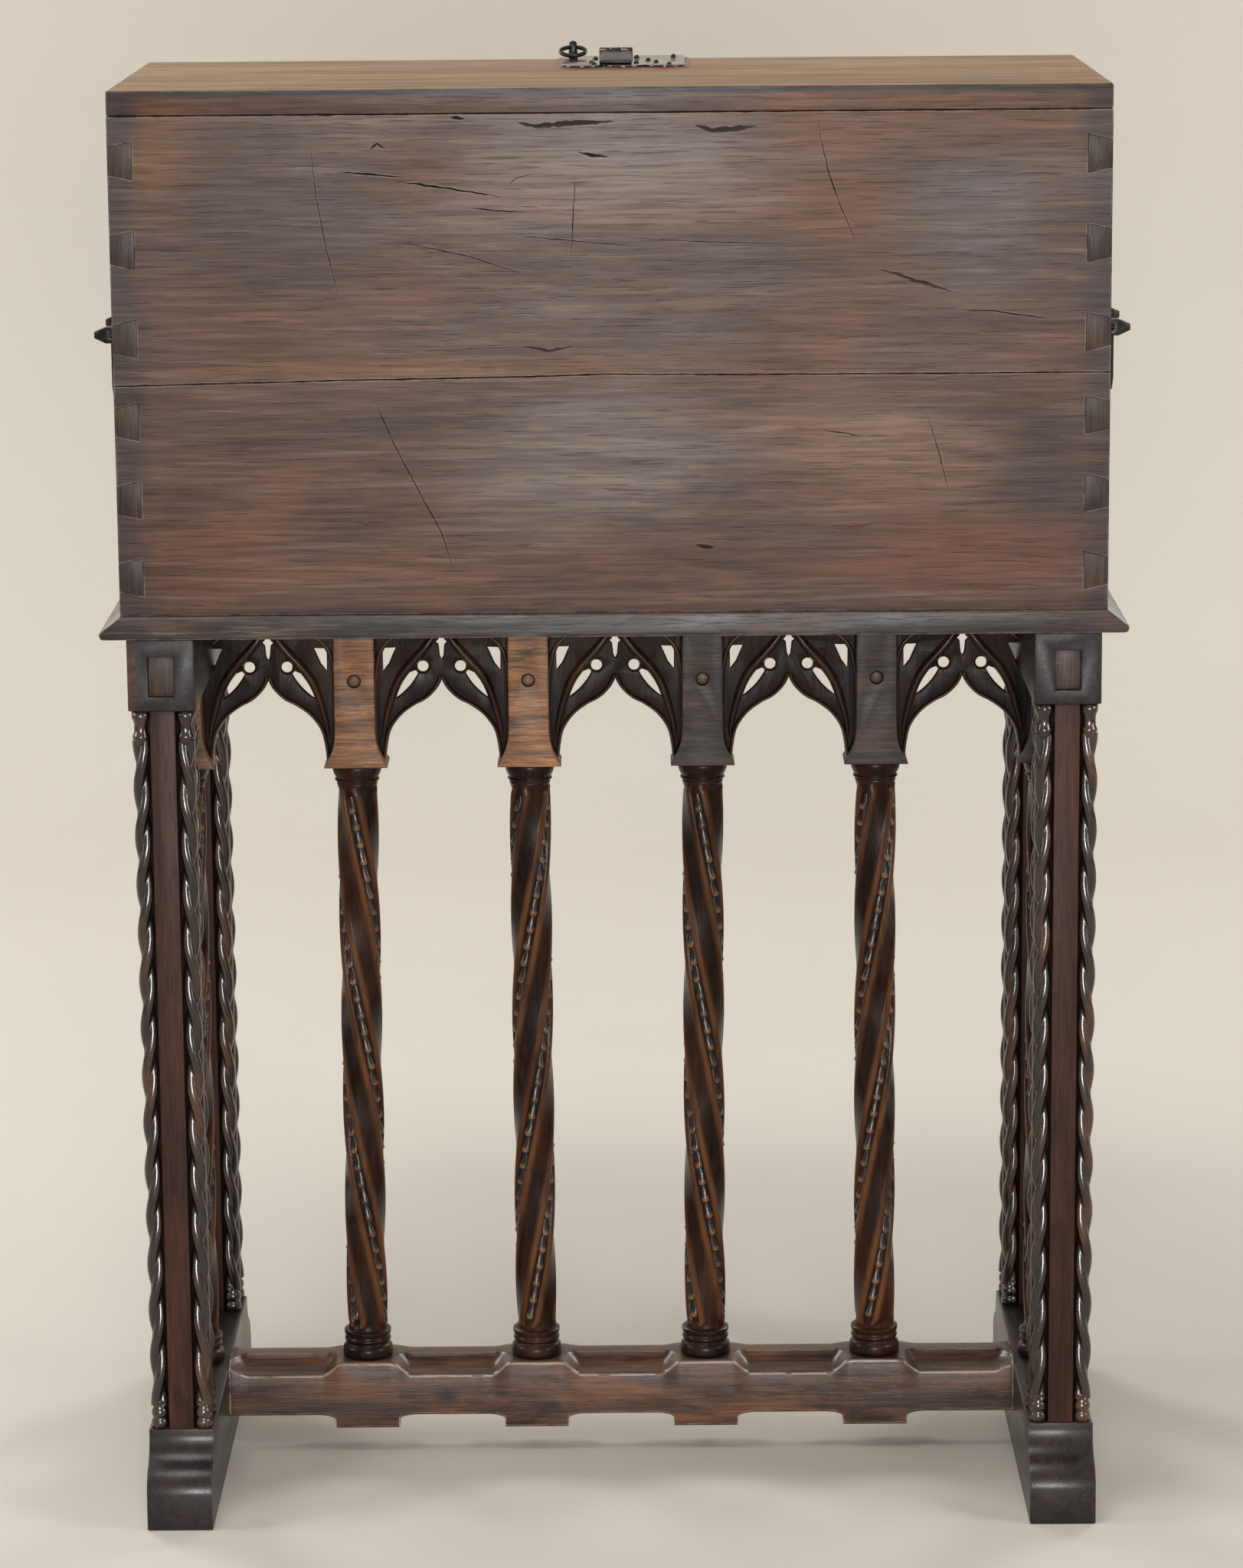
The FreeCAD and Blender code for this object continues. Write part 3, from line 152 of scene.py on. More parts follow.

# finishes: streak colours, warm and dark zones, worn wood under the polish, painted sheen, highlights and
# shade
turnTo = {"x": (0, 0, 0), "y": (0, 0, -math.pi / 2), "z": (0, math.pi / 2, 0)}
plain = {
    "grain": "x", "size": 1.0, "warmth": 0.6, "gloom": 0.6, "contrast": 0.3, "sheenOnGrain": 0.0, "wear": 0.6,
    "ridge": 0.0, "ripple": 1.0, "coat": 0.0, "black": (0.012, 0.009, 0.009), "specular": 0.38, "edges": 0.0,
    "stainsAndSheen": [],
}
finishes = {
    "chestBack": {
        "dark": (0.062, 0.034, 0.026), "light": (0.11, 0.061, 0.045), "warm": (0.165, 0.08, 0.042),
        # the pale grey worn colour on the arrises is rubbed wear and painted glints
        "black": (0.042, 0.031, 0.031), "worn": (0.42, 0.36, 0.33), "rough": (0.27, 0.42), "gloom": 0.7,
        "contrast": 0.32, "sheenOnGrain": 0.12, "ripple": 1.7, "edges": 0.75, "specular": 0.14,
        "stainsAndSheen": [  # x, z, width, height, strength and tint
            # the first three pale grey patches are painted sheen; the rest are stains
            (0.0, 1.25, 0.2, 0.065, 0.62, (0.2, 0.16, 0.145)),
            (0.01, 0.99, 0.19, 0.09, 0.62, (0.175, 0.138, 0.126)),
            (-0.32, 1.2, 0.09, 0.06, 0.6, (0.11, 0.094, 0.092)),
            (-0.32, 0.905, 0.14, 0.05, 0.6, (0.15, 0.056, 0.03)),
            (0.4, 1.26, 0.05, 0.07, 0.7, (0.15, 0.068, 0.028)),
            (0.3, 1.215, 0.13, 0.07, 0.65, (0.052, 0.035, 0.034)),
            (0.37, 0.9, 0.1, 0.05, 0.6, (0.11, 0.043, 0.023)),
            (-0.38, 0.99, 0.06, 0.08, 0.7, (0.042, 0.031, 0.031)),
            (-0.24, 1.01, 0.13, 0.06, 0.6, (0.2, 0.118, 0.074)),
            (0.16, 1.076, 0.3, 0.012, 0.7, (0.16, 0.083, 0.036)),
            (0.19, 1.14, 0.12, 0.035, 0.5, (0.14, 0.062, 0.036)),
            (0.0, 1.3245, 3.0, 0.008, 0.85, (0.03, 0.027, 0.029)),
        ],
    },
    "crackDark": {
        "dark": (0.026, 0.02, 0.018), "light": (0.062, 0.047, 0.04), "warm": (0.07, 0.045, 0.034),
        "worn": (0.1, 0.075, 0.06), "rough": (0.5, 0.6), "specular": 0.15,
    },
    # the top board is walnut painted far paler and tan than the back: a painted reflection of a pale wall
    "chestTop": {
        "dark": (0.17, 0.1, 0.054), "light": (0.33, 0.212, 0.115), "warm": (0.37, 0.225, 0.112),
        "worn": (0.38, 0.26, 0.16), "rough": (0.42, 0.54), "gloom": 0.35, "black": (0.09, 0.055, 0.03),
        "specular": 0.2,
    },
    "chestSide": {
        "grain": "y", "dark": (0.045, 0.026, 0.022), "light": (0.115, 0.064, 0.048),
        "warm": (0.16, 0.074, 0.038), "worn": (0.22, 0.14, 0.09), "rough": (0.3, 0.44), "gloom": 0.7,
        "contrast": 0.38,
    },
    "pinEnds": {
        "grain": "z", "dark": (0.03, 0.022, 0.02), "light": (0.06, 0.041, 0.036), "warm": (0.1, 0.055, 0.036),
        "worn": (0.16, 0.12, 0.1), "rough": (0.34, 0.46), "size": 2.0, "specular": 0.16,
    },
    "chestInside": {
        "dark": (0.075, 0.038, 0.022), "light": (0.17, 0.092, 0.052), "warm": (0.22, 0.115, 0.056),
        "worn": (0.24, 0.14, 0.08), "rough": (0.34, 0.5), "size": 1.2, "black": (0.04, 0.022, 0.014),
    },
    "standLong": {
        "dark": (0.04, 0.024, 0.019), "light": (0.107, 0.056, 0.039), "warm": (0.18, 0.078, 0.037),
        # the pale worn colour on the arrises is rubbed wear and a painted highlight line
        "worn": (0.5, 0.36, 0.27), "rough": (0.24, 0.36), "wear": 1.0, "warmth": 0.8, "gloom": 0.8,
        "size": 1.7, "coat": 0.05, "ridge": 0.9, "specular": 0.2,
        "stainsAndSheen": [
            (0.26, 0.046, 0.1, 0.012, 0.7, (0.034, 0.03, 0.031)),
            (-0.02, 0.043, 0.09, 0.01, 0.6, (0.034, 0.03, 0.031)),
            (0.17, 0.056, 0.016, 0.014, 0.85, (0.025, 0.021, 0.021)),
            (-0.3, 0.05, 0.1, 0.012, 0.6, (0.036, 0.031, 0.031)),
            (0.08, 0.082, 0.03, 0.008, 0.5, (0.1, 0.075, 0.07)),
            (0.24, 0.082, 0.04, 0.008, 0.5, (0.1, 0.075, 0.07)),
        ],
    },
    "standEdge": {
        "dark": (0.023, 0.0195, 0.019), "light": (0.054, 0.044, 0.041), "warm": (0.13, 0.065, 0.042),
        "worn": (0.3, 0.25, 0.21), "rough": (0.3, 0.44), "wear": 0.9, "warmth": 0.45, "size": 1.6,
        "sheenOnGrain": 0.25, "contrast": 0.4, "specular": 0.24,
    },
    "standDeep": {
        "grain": "y", "dark": (0.015, 0.0135, 0.0135), "light": (0.03, 0.0265, 0.026),
        "warm": (0.048, 0.03, 0.024), "worn": (0.2, 0.15, 0.12), "rough": (0.3, 0.42), "warmth": 0.4,
        "size": 1.6, "specular": 0.22,
        "stainsAndSheen": [
            (0.44, 0.8, 0.014, 0.05, 0.75, (0.11, 0.05, 0.032)),
        ],
    },
    "footWood": {
        "grain": "y", "dark": (0.012, 0.0085, 0.0078), "light": (0.025, 0.02, 0.019),
        "warm": (0.042, 0.021, 0.016), "worn": (0.2, 0.16, 0.14), "rough": (0.26, 0.38), "warmth": 0.5,
        "size": 1.6, "coat": 0.08, "specular": 0.3,
    },
    "standPost": {
        "grain": "z", "dark": (0.038, 0.016, 0.0115), "light": (0.056, 0.0245, 0.0175),
        "warm": (0.076, 0.031, 0.0185), "worn": (0.18, 0.085, 0.05), "rough": (0.36, 0.5), "wear": 0.5,
        "size": 1.6, "specular": 0.12, "contrast": 0.2,
    },
    "carved": {
        "grain": "z", "dark": (0.006, 0.0024, 0.0018), "light": (0.021, 0.0068, 0.0037),
        "warm": (0.05, 0.0148, 0.0055), "black": (0.005, 0.004, 0.004), "worn": (0.16, 0.06, 0.021),
        "rough": (0.24, 0.36), "wear": 0.4, "warmth": 0.7, "size": 2.2, "coat": 0.04, "ridge": 0.75,
        "specular": 0.16,
    },
    "ropeWood": {
        "grain": "z", "dark": (0.006, 0.0034, 0.003), "light": (0.022, 0.0085, 0.0052),
        "warm": (0.075, 0.026, 0.01), "black": (0.003, 0.0025, 0.0025), "worn": (0.13, 0.055, 0.022),
        "rough": (0.15, 0.22), "wear": 0.25, "warmth": 0.9, "size": 3.4, "coat": 0.6, "specular": 0.5,
        "ripple": 0.4, "contrast": 0.2,
    },
    "plugWood": {
        "grain": "z", "dark": (0.04, 0.026, 0.02), "light": (0.085, 0.053, 0.04), "warm": (0.1, 0.055, 0.035),
        "worn": (0.2, 0.14, 0.1), "rough": (0.4, 0.5), "size": 2.0, "specular": 0.3,
    },
    "husk": {
        "grain": "z", "dark": (0.006, 0.004, 0.0036), "light": (0.018, 0.0095, 0.007),
        # the pale worn colour on the bud tips is rubbed wear and a painted highlight
        "warm": (0.035, 0.015, 0.009), "worn": (0.3, 0.155, 0.08), "rough": (0.22, 0.34), "wear": 0.2,
        "warmth": 0.5, "size": 2.4, "coat": 0.12, "ridge": 0.8, "specular": 0.35,
    },
    "bareWood": {
        "dark": (0.13, 0.058, 0.028), "light": (0.33, 0.158, 0.073), "warm": (0.4, 0.178, 0.07),
        "worn": (0.4, 0.23, 0.13), "rough": (0.38, 0.52), "gloom": 0.9, "size": 2.8, "contrast": 0.45,
        "specular": 0.25, "black": (0.05, 0.034, 0.028),
    },
    "pegEnds": {
        "dark": (0.07, 0.036, 0.022), "light": (0.15, 0.08, 0.045), "warm": (0.18, 0.09, 0.045),
        "worn": (0.24, 0.14, 0.08), "rough": (0.36, 0.5), "size": 2.0, "specular": 0.3,
    },
    "tracery": {
        "grain": "z", "dark": (0.013, 0.0062, 0.005), "light": (0.04, 0.0165, 0.0105),
        "warm": (0.07, 0.027, 0.0125), "black": (0.006, 0.005, 0.005), "worn": (0.17, 0.078, 0.036),
        "rough": (0.22, 0.34), "size": 2.2, "coat": 0.05, "specular": 0.2,
    },
    # the same oak as the ribs, painted far darker: painted shade on the sunk web
    "traceryWebShaded": {
        "grain": "z", "dark": (0.006, 0.0032, 0.0026), "light": (0.02, 0.0088, 0.006),
        "warm": (0.04, 0.016, 0.0085), "black": (0.004, 0.0035, 0.0035), "worn": (0.1, 0.045, 0.022),
        "rough": (0.3, 0.42), "size": 2.2, "specular": 0.12,
    },
    "greyWood": {
        "dark": (0.024, 0.02, 0.02), "light": (0.058, 0.047, 0.045), "warm": (0.15, 0.082, 0.055),
        "worn": (0.17, 0.12, 0.095), "rough": (0.36, 0.5), "warmth": 0.5, "size": 2.6, "specular": 0.2,
    },
    "drawerFace": {
        "dark": (0.07, 0.031, 0.017), "light": (0.18, 0.084, 0.043), "warm": (0.25, 0.12, 0.055),
        "worn": (0.3, 0.16, 0.08), "rough": (0.24, 0.38), "size": 1.8, "coat": 0.2,
        "black": (0.035, 0.017, 0.01),
    },
    "drawerBox": {
        "grain": "y", "dark": (0.2, 0.12, 0.065), "light": (0.36, 0.23, 0.13), "warm": (0.4, 0.25, 0.13),
        "worn": (0.42, 0.28, 0.17), "rough": (0.45, 0.6), "size": 1.5, "gloom": 0.2,
        "black": (0.14, 0.085, 0.045),
    },
}

# where each effect starts and is full, and its strength
polish = {
    "streaks": (0.34, 0.66), "warm": (0.46, 0.68), "gloom": (0.5, 0.72), "shade": (0.28, 0.72),
    "paintedSheen": (0.52, 0.72), "paintedSheenStreaks": (0.42, 0.66), "paintedSheenColour": (0.33, 0.3, 0.29),
    "stainAndSheenReach": (1.65, 0.75), "stainAndSheenRagged": 1.1, "edge": (0.435, 0.47), "edgePatch": 26.0, "edgeRagged": 0.06,
    "poreShare": 0.6, "poreShade": 0.4, "waxAndShadeShare": 0.8, "waxAndShadeColour": (0.006, 0.005, 0.005), "waxRough": 0.2,
    "bareGrain": (14, 60, 60), "bare": (0.3, 0.62, 0.25, 1.0), "sheen": (0.25, 0.75), "coatRough": 0.16,
    "waves": ((3, 9, 9), 2.2), "dents": ((16, 48, 48), 0.4), "relief": 0.12, "bump": (0.6, 0.0008),
}


def newMaterial(name):
    material = bpy.data.materials.new(name)
    material.use_nodes = True
    tree = material.node_tree
    return material, tree, put(tree, "ShaderNodeTexCoord").outputs["Object"]


def shaded(material, inputs, height, strength, distance):
    tree = material.node_tree
    bump = put(tree, "ShaderNodeBump", {"Strength": strength, "Distance": distance, "Height": height})
    fill(tree, tree.nodes["Principled BSDF"], {**inputs, "Normal": bump.outputs[0]})
    return material


def woodFinish(name, given):
    look, p = {**plain, **given}, polish
    material, tree, place = newMaterial(name)
    along = put(tree, "ShaderNodeMapping", {"Vector": place, "Rotation": turnTo[look["grain"]]}).outputs[0]
    figure = placed(tree, grain, {"Vector": along, "Size": look["size"]})
    colour = mixColour(tree, span(tree, figure["Streaks"], *p["streaks"]), look["dark"], look["light"])
    warmth = times(tree, span(tree, figure["Patches"], *p["warm"]), look["warmth"])
    colour = mixColour(tree, warmth, colour, look["warm"])
    for x, z, wide, tall, strength, tint in look["stainsAndSheen"]:  # broad soft stains and painted sheen patches at their places
        offset = stretched(tree, place, (1 / wide, 0, 1 / tall), (-x / wide, 0, -z / tall))
        away = put(tree, "ShaderNodeVectorMath", {0: offset}, operation="LENGTH").outputs["Value"]
        ragged = plus(tree, away, times(tree, figure["Clouds"], p["stainAndSheenRagged"]))
        colour = mixColour(tree, span(tree, ragged, *p["stainAndSheenReach"], 0.0, strength), colour, tint)
    gloom = times(tree, span(tree, figure["Clouds"], *p["gloom"]), look["gloom"])
    if look["edges"]:  # darker along both upright edges of the chest back
        across = calc(tree, "ABSOLUTE", put(tree, "ShaderNodeSeparateXYZ", {0: place}).outputs[0])
        ragged = plus(tree, across, times(tree, cloud(tree, place, p["edgePatch"], 4.0), p["edgeRagged"]))
        gloom = calc(tree, "MAXIMUM", gloom, span(tree, ragged, *p["edge"], 0.0, look["edges"]))
    colour = mixColour(tree, gloom, colour, look["black"])
    shade = span(tree, figure["Fine"], *p["shade"], 1 - look["contrast"], 1 + look["contrast"])
    colour = mixColour(tree, 1.0, colour, shade, "MULTIPLY")
    if look["sheenOnGrain"]:  # painted sheen: pale grey on the raised grain
        raised = span(tree, figure["Streaks"], *p["paintedSheenStreaks"])
        paintedSheen = times(tree, span(tree, figure["Fine"], *p["paintedSheen"]), raised)
        colour = mixColour(tree, times(tree, paintedSheen, look["sheenOnGrain"]), colour, p["paintedSheenColour"])
    pores = times(tree, figure["Pores"], p["poreShare"])
    colour = mixColour(tree, pores, colour, tuple(c * p["poreShade"] for c in look["dark"]))
    # painted shade and dark wax: ambient occlusion darkens the hollows
    waxedAndShaded = placed(tree, hollow, {})["Mask"]
    colour = mixColour(tree, times(tree, waxedAndShaded, p["waxAndShadeShare"]), colour, p["waxAndShadeColour"])
    if look["ridge"]:  # polish rubbed through on the carved ridges where crest is set; on the bud tips and top arrises also a painted highlight
        crest = put(tree, "ShaderNodeAttribute", attribute_name="crest").outputs["Fac"]
        bare = span(tree, fibres(tree, along, p["bareGrain"], 4.0, 0.6), *p["bare"])
        ridge = times(tree, times(tree, crest, bare), look["ridge"])
        colour = mixColour(tree, ridge, colour, look["worn"])
    worn = placed(tree, rubbed, {"Vector": place, "Amount": look["wear"]})["Mask"]
    sheen = span(tree, figure["Patches"], *p["sheen"], *look["rough"])
    waves, dents = (times(tree, fibres(tree, along, scale, 2.0), deep * look["ripple"])
                    for scale, deep in (p["waves"], p["dents"]))
    height = plus(tree, plus(tree, waves, dents), times(tree, figure["Fine"], p["relief"]))
    height = calc(tree, "SUBTRACT", height, times(tree, figure["Pores"], p["relief"]))
    inputs = {
        "Base Color": mixColour(tree, worn, colour, look["worn"]),
        "Roughness": plus(tree, sheen, times(tree, waxedAndShaded, p["waxRough"])),
        "Coat Weight": look["coat"], "Coat Roughness": p["coatRough"], "Specular IOR Level": look["specular"],
    }
    return shaded(material, inputs, height, *p["bump"])


wood = {name: woodFinish(name, look) for name, look in finishes.items()}

forged = {
    "spots": 130.0, "spotReach": (0.5, 0.72), "edge": 0.0012, "wear": 0.7, "bright": (0.1, 0.086, 0.075),
    "metal": 0.85, "rustDull": 0.7, "rustRough": 0.3, "dents": 260.0, "rustLift": 0.5, "depth": 0.0006,
}


def ironFinish(name, dark, rust, rough, pitted):
    f = forged
    material, tree, place = newMaterial(name)
    spots = span(tree, cloud(tree, place, f["spots"], 6.0, 0.7), *f["spotReach"])
    worn = placed(tree, rubbed, {"Vector": place, "Width": f["edge"], "Amount": f["wear"]})["Mask"]
    inputs = {
        "Base Color": mixColour(tree, worn, mixColour(tree, spots, dark, rust), f["bright"]),
        "Metallic": calc(tree, "SUBTRACT", f["metal"], times(tree, spots, f["rustDull"])),
        "Roughness": plus(tree, rough, times(tree, spots, f["rustRough"])),
    }
    dents = plus(tree, cloud(tree, place, f["dents"], 4.0), times(tree, spots, f["rustLift"]))
    return shaded(material, inputs, dents, pitted, f["depth"])


iron = ironFinish("forgedIron", (0.022, 0.02, 0.018), (0.038, 0.021, 0.013), 0.36, 0.4)
# the plate is rubbed bright by the strap
plateIron = ironFinish("rubbedIron", (0.07, 0.062, 0.054), (0.055, 0.034, 0.023), 0.13, 0.07)

pile = {
    "threads": 420.0, "waver": 1.2, "fade": 60.0, "fadeReach": (0.35, 0.65), "deep": (0.2, 0.022, 0.018),
    "faded": (0.38, 0.06, 0.04), "between": (0.1, 0.012, 0.01), "weave": 0.4, "rough": 0.9, "sheen": 0.4,
    "bump": (0.6, 0.0004),
}


def clothFinish():
    material, tree, place = newMaterial("redVelvet")
    names = {"Vector": place, "Scale": pile["threads"], "Distortion": pile["waver"]}
    warp, weft = (put(tree, "ShaderNodeTexWave", names, bands_direction=way).outputs["Fac"] for way in "XY")
    weave = times(tree, warp, weft)
    faded = span(tree, cloud(tree, place, pile["fade"], 4.0), *pile["fadeReach"])
    colour = mixColour(tree, faded, pile["deep"], pile["faded"])
    inputs = {
        "Base Color": mixColour(tree, times(tree, weave, pile["weave"]), colour, pile["between"]),
        "Roughness": pile["rough"], "Sheen Weight": pile["sheen"],
    }
    return shaded(material, inputs, weave, *pile["bump"])


velvet = clothFinish()
print("finishes ready:", len(bpy.data.materials))

# mesh helpers


def linked(name, data):
    obj = bpy.data.objects.new(name, data)
    bpy.context.scene.collection.objects.link(obj)
    return obj


def loose(name, bm):
    mesh = bpy.data.meshes.new(name)
    bm.to_mesh(mesh)
    bm.free()
    return linked(name, mesh)


def outward(bm):
    bmesh.ops.recalc_face_normals(bm, faces=bm.faces)
    return bm


def finished(name, bm, material, angle=35):
    piece = loose(name, outward(bm))
    for face in piece.data.polygons:
        face.use_smooth = True
    piece.data.set_sharp_from_angle(angle=math.radians(angle))
    for each in material if isinstance(material, list) else [material]:
        piece.data.materials.append(each)
    return piece


def evaluated(obj):
    bpy.context.view_layer.update()
    return bpy.data.meshes.new_from_object(obj.evaluated_get(bpy.context.evaluated_depsgraph_get()))


def ready(piece, body, slot, *stoodFor):
    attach(piece, body)
    if stoodFor:
        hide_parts(*stoodFor)
    return piece


def onStand(piece, *stoodFor):
    return ready(piece, "carcass", "stand_walnut", *stoodFor)


def softened(bm, edges, ease, steps):
    names = {"offset_type": "OFFSET", "profile": 0.6, "affect": "EDGES"}
    bmesh.ops.bevel(bm, geom=edges, offset=ease, segments=steps, **names)


def addBoard(bm, low, high, ease=0.0015, steps=3):
    size = Vector(high) - Vector(low)
    middle = (Vector(high) + Vector(low)) / 2
    spot = Matrix.Translation(middle) @ Matrix.Diagonal((*size, 1))
    made = bmesh.ops.create_cube(bm, size=1.0, matrix=spot)
    softened(bm, list(dict.fromkeys(e for v in made["verts"] for e in v.link_edges)), ease, steps)


def addSlab(bm, outline, low, high, ease, steps=2):
    # outline in x and z, pushed along y
    face = bm.faces.new([bm.verts.new((a, low, b)) for a, b in outline])
    pushed = bmesh.ops.extrude_face_region(bm, geom=[face])
    moved = [v for v in pushed["geom"] if isinstance(v, bmesh.types.BMVert)]
    bmesh.ops.translate(bm, verts=moved, vec=Vector((0, high - low, 0)))
    far = [f for f in pushed["geom"] if isinstance(f, bmesh.types.BMFace)]
    softened(bm, list(dict.fromkeys(e for f in far + [face] for e in f.edges)), ease, steps)


def bridged(bm, rings, capped=True):
    for low, high in zip(rings, rings[1:]):
        for i in range(len(low)):
            bm.faces.new((low[i - 1], low[i], high[i], high[i - 1]))
    if capped:
        bm.faces.new(rings[0])
        bm.faces.new(rings[-1])


def addLathe(bm, profile, centre, around=40, axis="z"):
    # profile of radius and height about the axis, closed at both ends
    def spot(a, b, c):
        return {"z": (a, b, c), "y": (a, c, b)}[axis]

    turns = [2 * math.pi * i / around for i in range(around)]
    rings = []
    for r, height in profile:
        ring = [Vector(spot(r * math.cos(t), r * math.sin(t), height)) for t in turns]
        rings.append([bm.verts.new(Vector(centre) + v) for v in ring])
    bridged(bm, rings)


def merged(node):
    bm = bmesh.new()
    bm.from_mesh(nodes[node].data)
    bmesh.ops.remove_doubles(bm, verts=bm.verts, dist=0.00002)
    bmesh.ops.dissolve_limit(bm, angle_limit=math.radians(1), verts=bm.verts, edges=bm.edges)
    return bm


def arrises(bm, angle):
    convex = [e for e in bm.edges if len(e.link_faces) == 2 and e.is_convex]
    return [e for e in convex if e.calc_face_angle(0) > math.radians(angle)]


def fromNode(node, name, material, ease=0.0015, steps=2, angle=25, smooth=35):
    # a merged copy of the solid with its arrises eased
    bm = merged(node)
    if ease:
        softened(bm, arrises(bm, angle), ease, steps)
    return finished(name, bm, material, smooth)


def faced(piece, *rules):
    # material by the way each face looks
    for face in piece.data.polygons:
        for index, way, least in rules:
            if face.normal.dot(Vector(way)) > least:
                face.material_index = index
    return piece


middleY = 0.204
trestleX = 0.4095
columnX = [0.2457, 0.0819, -0.0819, -0.2457]

# chest carcass: the boards have their cracks and the open joint between them
chest = {
    "left": -0.445, "right": 0.445, "rear": 0.409, "low": 0.855, "joint": 1.066, "lid": 1.303, "side": 0.022,
    "back": 0.02, "pin": 0.034, "taper": 0.005, "pins": 3, "steps": 110, "gap": 0.0009, "ragged": 0.0005,
    "topGap": 0.0007, "topRagged": 0.0004, "crackSlope": (0.02, 0.92), "crackReach": 0.42,
    "boardEase": 0.0005, "lidEase": 0.0022, "sideEase": 0.0007,
}
jointLine = [(-0.445, 1.0691), (-0.3424, 1.0691), (-0.1375, 1.0694), (0.0128, 1.0706), (0.0743, 1.0691),
             (0.2404, 1.067), (0.445, 1.063)]
gashes = [  # width, depth, then x and z along the back
    (0.0021, 0.004, [(0.2406, 1.2522), (0.219, 1.2507), (0.2039, 1.2491), (0.1823, 1.2474)]),
    (0.0021, 0.004, [(0.191, 1.2436), (0.1716, 1.2413), (0.1479, 1.2376), (0.122, 1.2335), (0.0961, 1.2294)]),
    (0.0014, 0.003, [(0.1254, 1.2198), (0.1049, 1.2176), (0.0735, 1.215)]),
    (0.001, 0.002, [(0.0878, 1.1974), (0.0749, 1.1941), (0.0359, 1.1901), (0.0056, 1.187),
                     (-0.0226, 1.1853)]),
    (0.0009, 0.002, [(-0.0118, 1.1933), (-0.0378, 1.1905), (-0.0721, 1.1885), (-0.1182, 1.187),
                     (-0.1586, 1.1861)]),
    (0.001, 0.002, [(0.193, 1.1912), (0.1585, 1.184), (0.1241, 1.1763), (0.0781, 1.1603)]),
    (0.0065, 0.0022, [(0.081, 1.2946), (0.065, 1.2911), (0.0421, 1.2931), (-0.0039, 1.2951)]),
    (0.0065, 0.0022, [(-0.0755, 1.291), (-0.0899, 1.2864), (-0.1071, 1.2874), (-0.13, 1.29)]),
    (0.0034, 0.0026, [(0.0286, 1.2684), (0.0157, 1.2653), (0.0006, 1.2636)]),
    (0.0035, 0.003, [(0.1404, 1.2993), (0.135, 1.2992), (0.1275, 1.2985)]),
    (0.003, 0.0015, [(0.2117, 1.2717), (0.2059, 1.2774), (0.1985, 1.2727)]),
    (0.0012, 0.0009, [(0.0306, 1.2466), (0.033, 1.2143), (0.035, 1.1742)]),
    (0.0012, 0.0008, [(0.2649, 1.2764), (0.2605, 1.229), (0.2527, 1.1857), (0.2407, 1.1357)]),
    (0.0014, 0.001, [(-0.184, 1.299), (-0.1862, 1.2799), (-0.1943, 1.2455), (-0.2047, 1.2167),
                     (-0.2191, 1.185)]),
    (0.001, 0.002, [(0.0894, 1.2406), (0.0829, 1.2459), (0.0677, 1.2495)]),
    (0.0045, 0.0016, [(-0.2393, 1.1618), (-0.2566, 1.1576), (-0.2682, 1.1529), (-0.3029, 1.1422)]),
    (0.0016, 0.0016, [(-0.3145, 1.1248), (-0.3376, 1.1251), (-0.355, 1.1221), (-0.3926, 1.1172)]),
    (0.003, 0.0012, [(0.0789, 1.0966), (0.0558, 1.0918), (0.0326, 1.0962)]),
    (0.0015, 0.001, [(0.2156, 1.0582), (0.1962, 1.0113), (0.168, 0.9553), (0.1539, 0.9287),
                     (0.1411, 0.8861)]),
    (0.0012, 0.0008, [(-0.2796, 1.0375), (-0.2915, 1.0008), (-0.3013, 0.9618)]),
    (0.0055, 0.0009, [(0.2441, 0.9383), (0.2208, 0.9369), (0.1974, 0.9379)]),
    (0.0055, 0.0009, [(-0.1932, 0.9318), (-0.2136, 0.9305), (-0.234, 0.9327)]),
    (0.004, 0.002, [(-0.0736, 0.9163), (-0.0823, 0.9144), (-0.0911, 0.9137)]),
    (0.0012, 0.002, [(-0.1877, 1.0189), (-0.2058, 1.0166), (-0.223, 1.0132)]),
]
gash = {"step": 0.004, "least": 0.14, "taper": 0.6, "proud": 0.001, "wander": 0.0016}


def jag(x, seed, size):
    return size * (noise.noise(Vector((x * 70, seed, 0))) + 0.6 * noise.noise(Vector((x * 260, seed, 3))))


def jointHeight(x):
    for (xa, za), (xb, zb) in zip(jointLine, jointLine[1:]):
        if xa <= x <= xb:
            return za + (zb - za) * (x - xa) / (xb - xa)


def tailedBoard(low, high, lowEdge, highEdge):
    # outline of a back board with sockets for the pins of the sides
    left, right = chest["left"], chest["right"]
    inner = right - chest["side"]
    wide, narrow = chest["pin"] / 2, chest["pin"] / 2 - chest["taper"]

    def edge(way):
        points = []
        for i in range(chest["pins"]):
            z = low + (high - low) * (i + 0.5) / chest["pins"]
            socket = ((right, z - narrow), (inner, z - wide), (inner, z + wide), (right, z + narrow))
            points += [(way * x, h) for x, h in socket]
        return points

    steps = [left + (right - left) * i / chest["steps"] for i in range(chest["steps"] + 1)]
    top = [(x, highEdge(x)) for x in reversed(steps)] if highEdge else [(right, high), (left, high)]
    under = [(x, lowEdge(x)) for x in steps] if lowEdge else [(left, low), (right, low)]
    return edge(1) + top + edge(-1)[::-1] + under


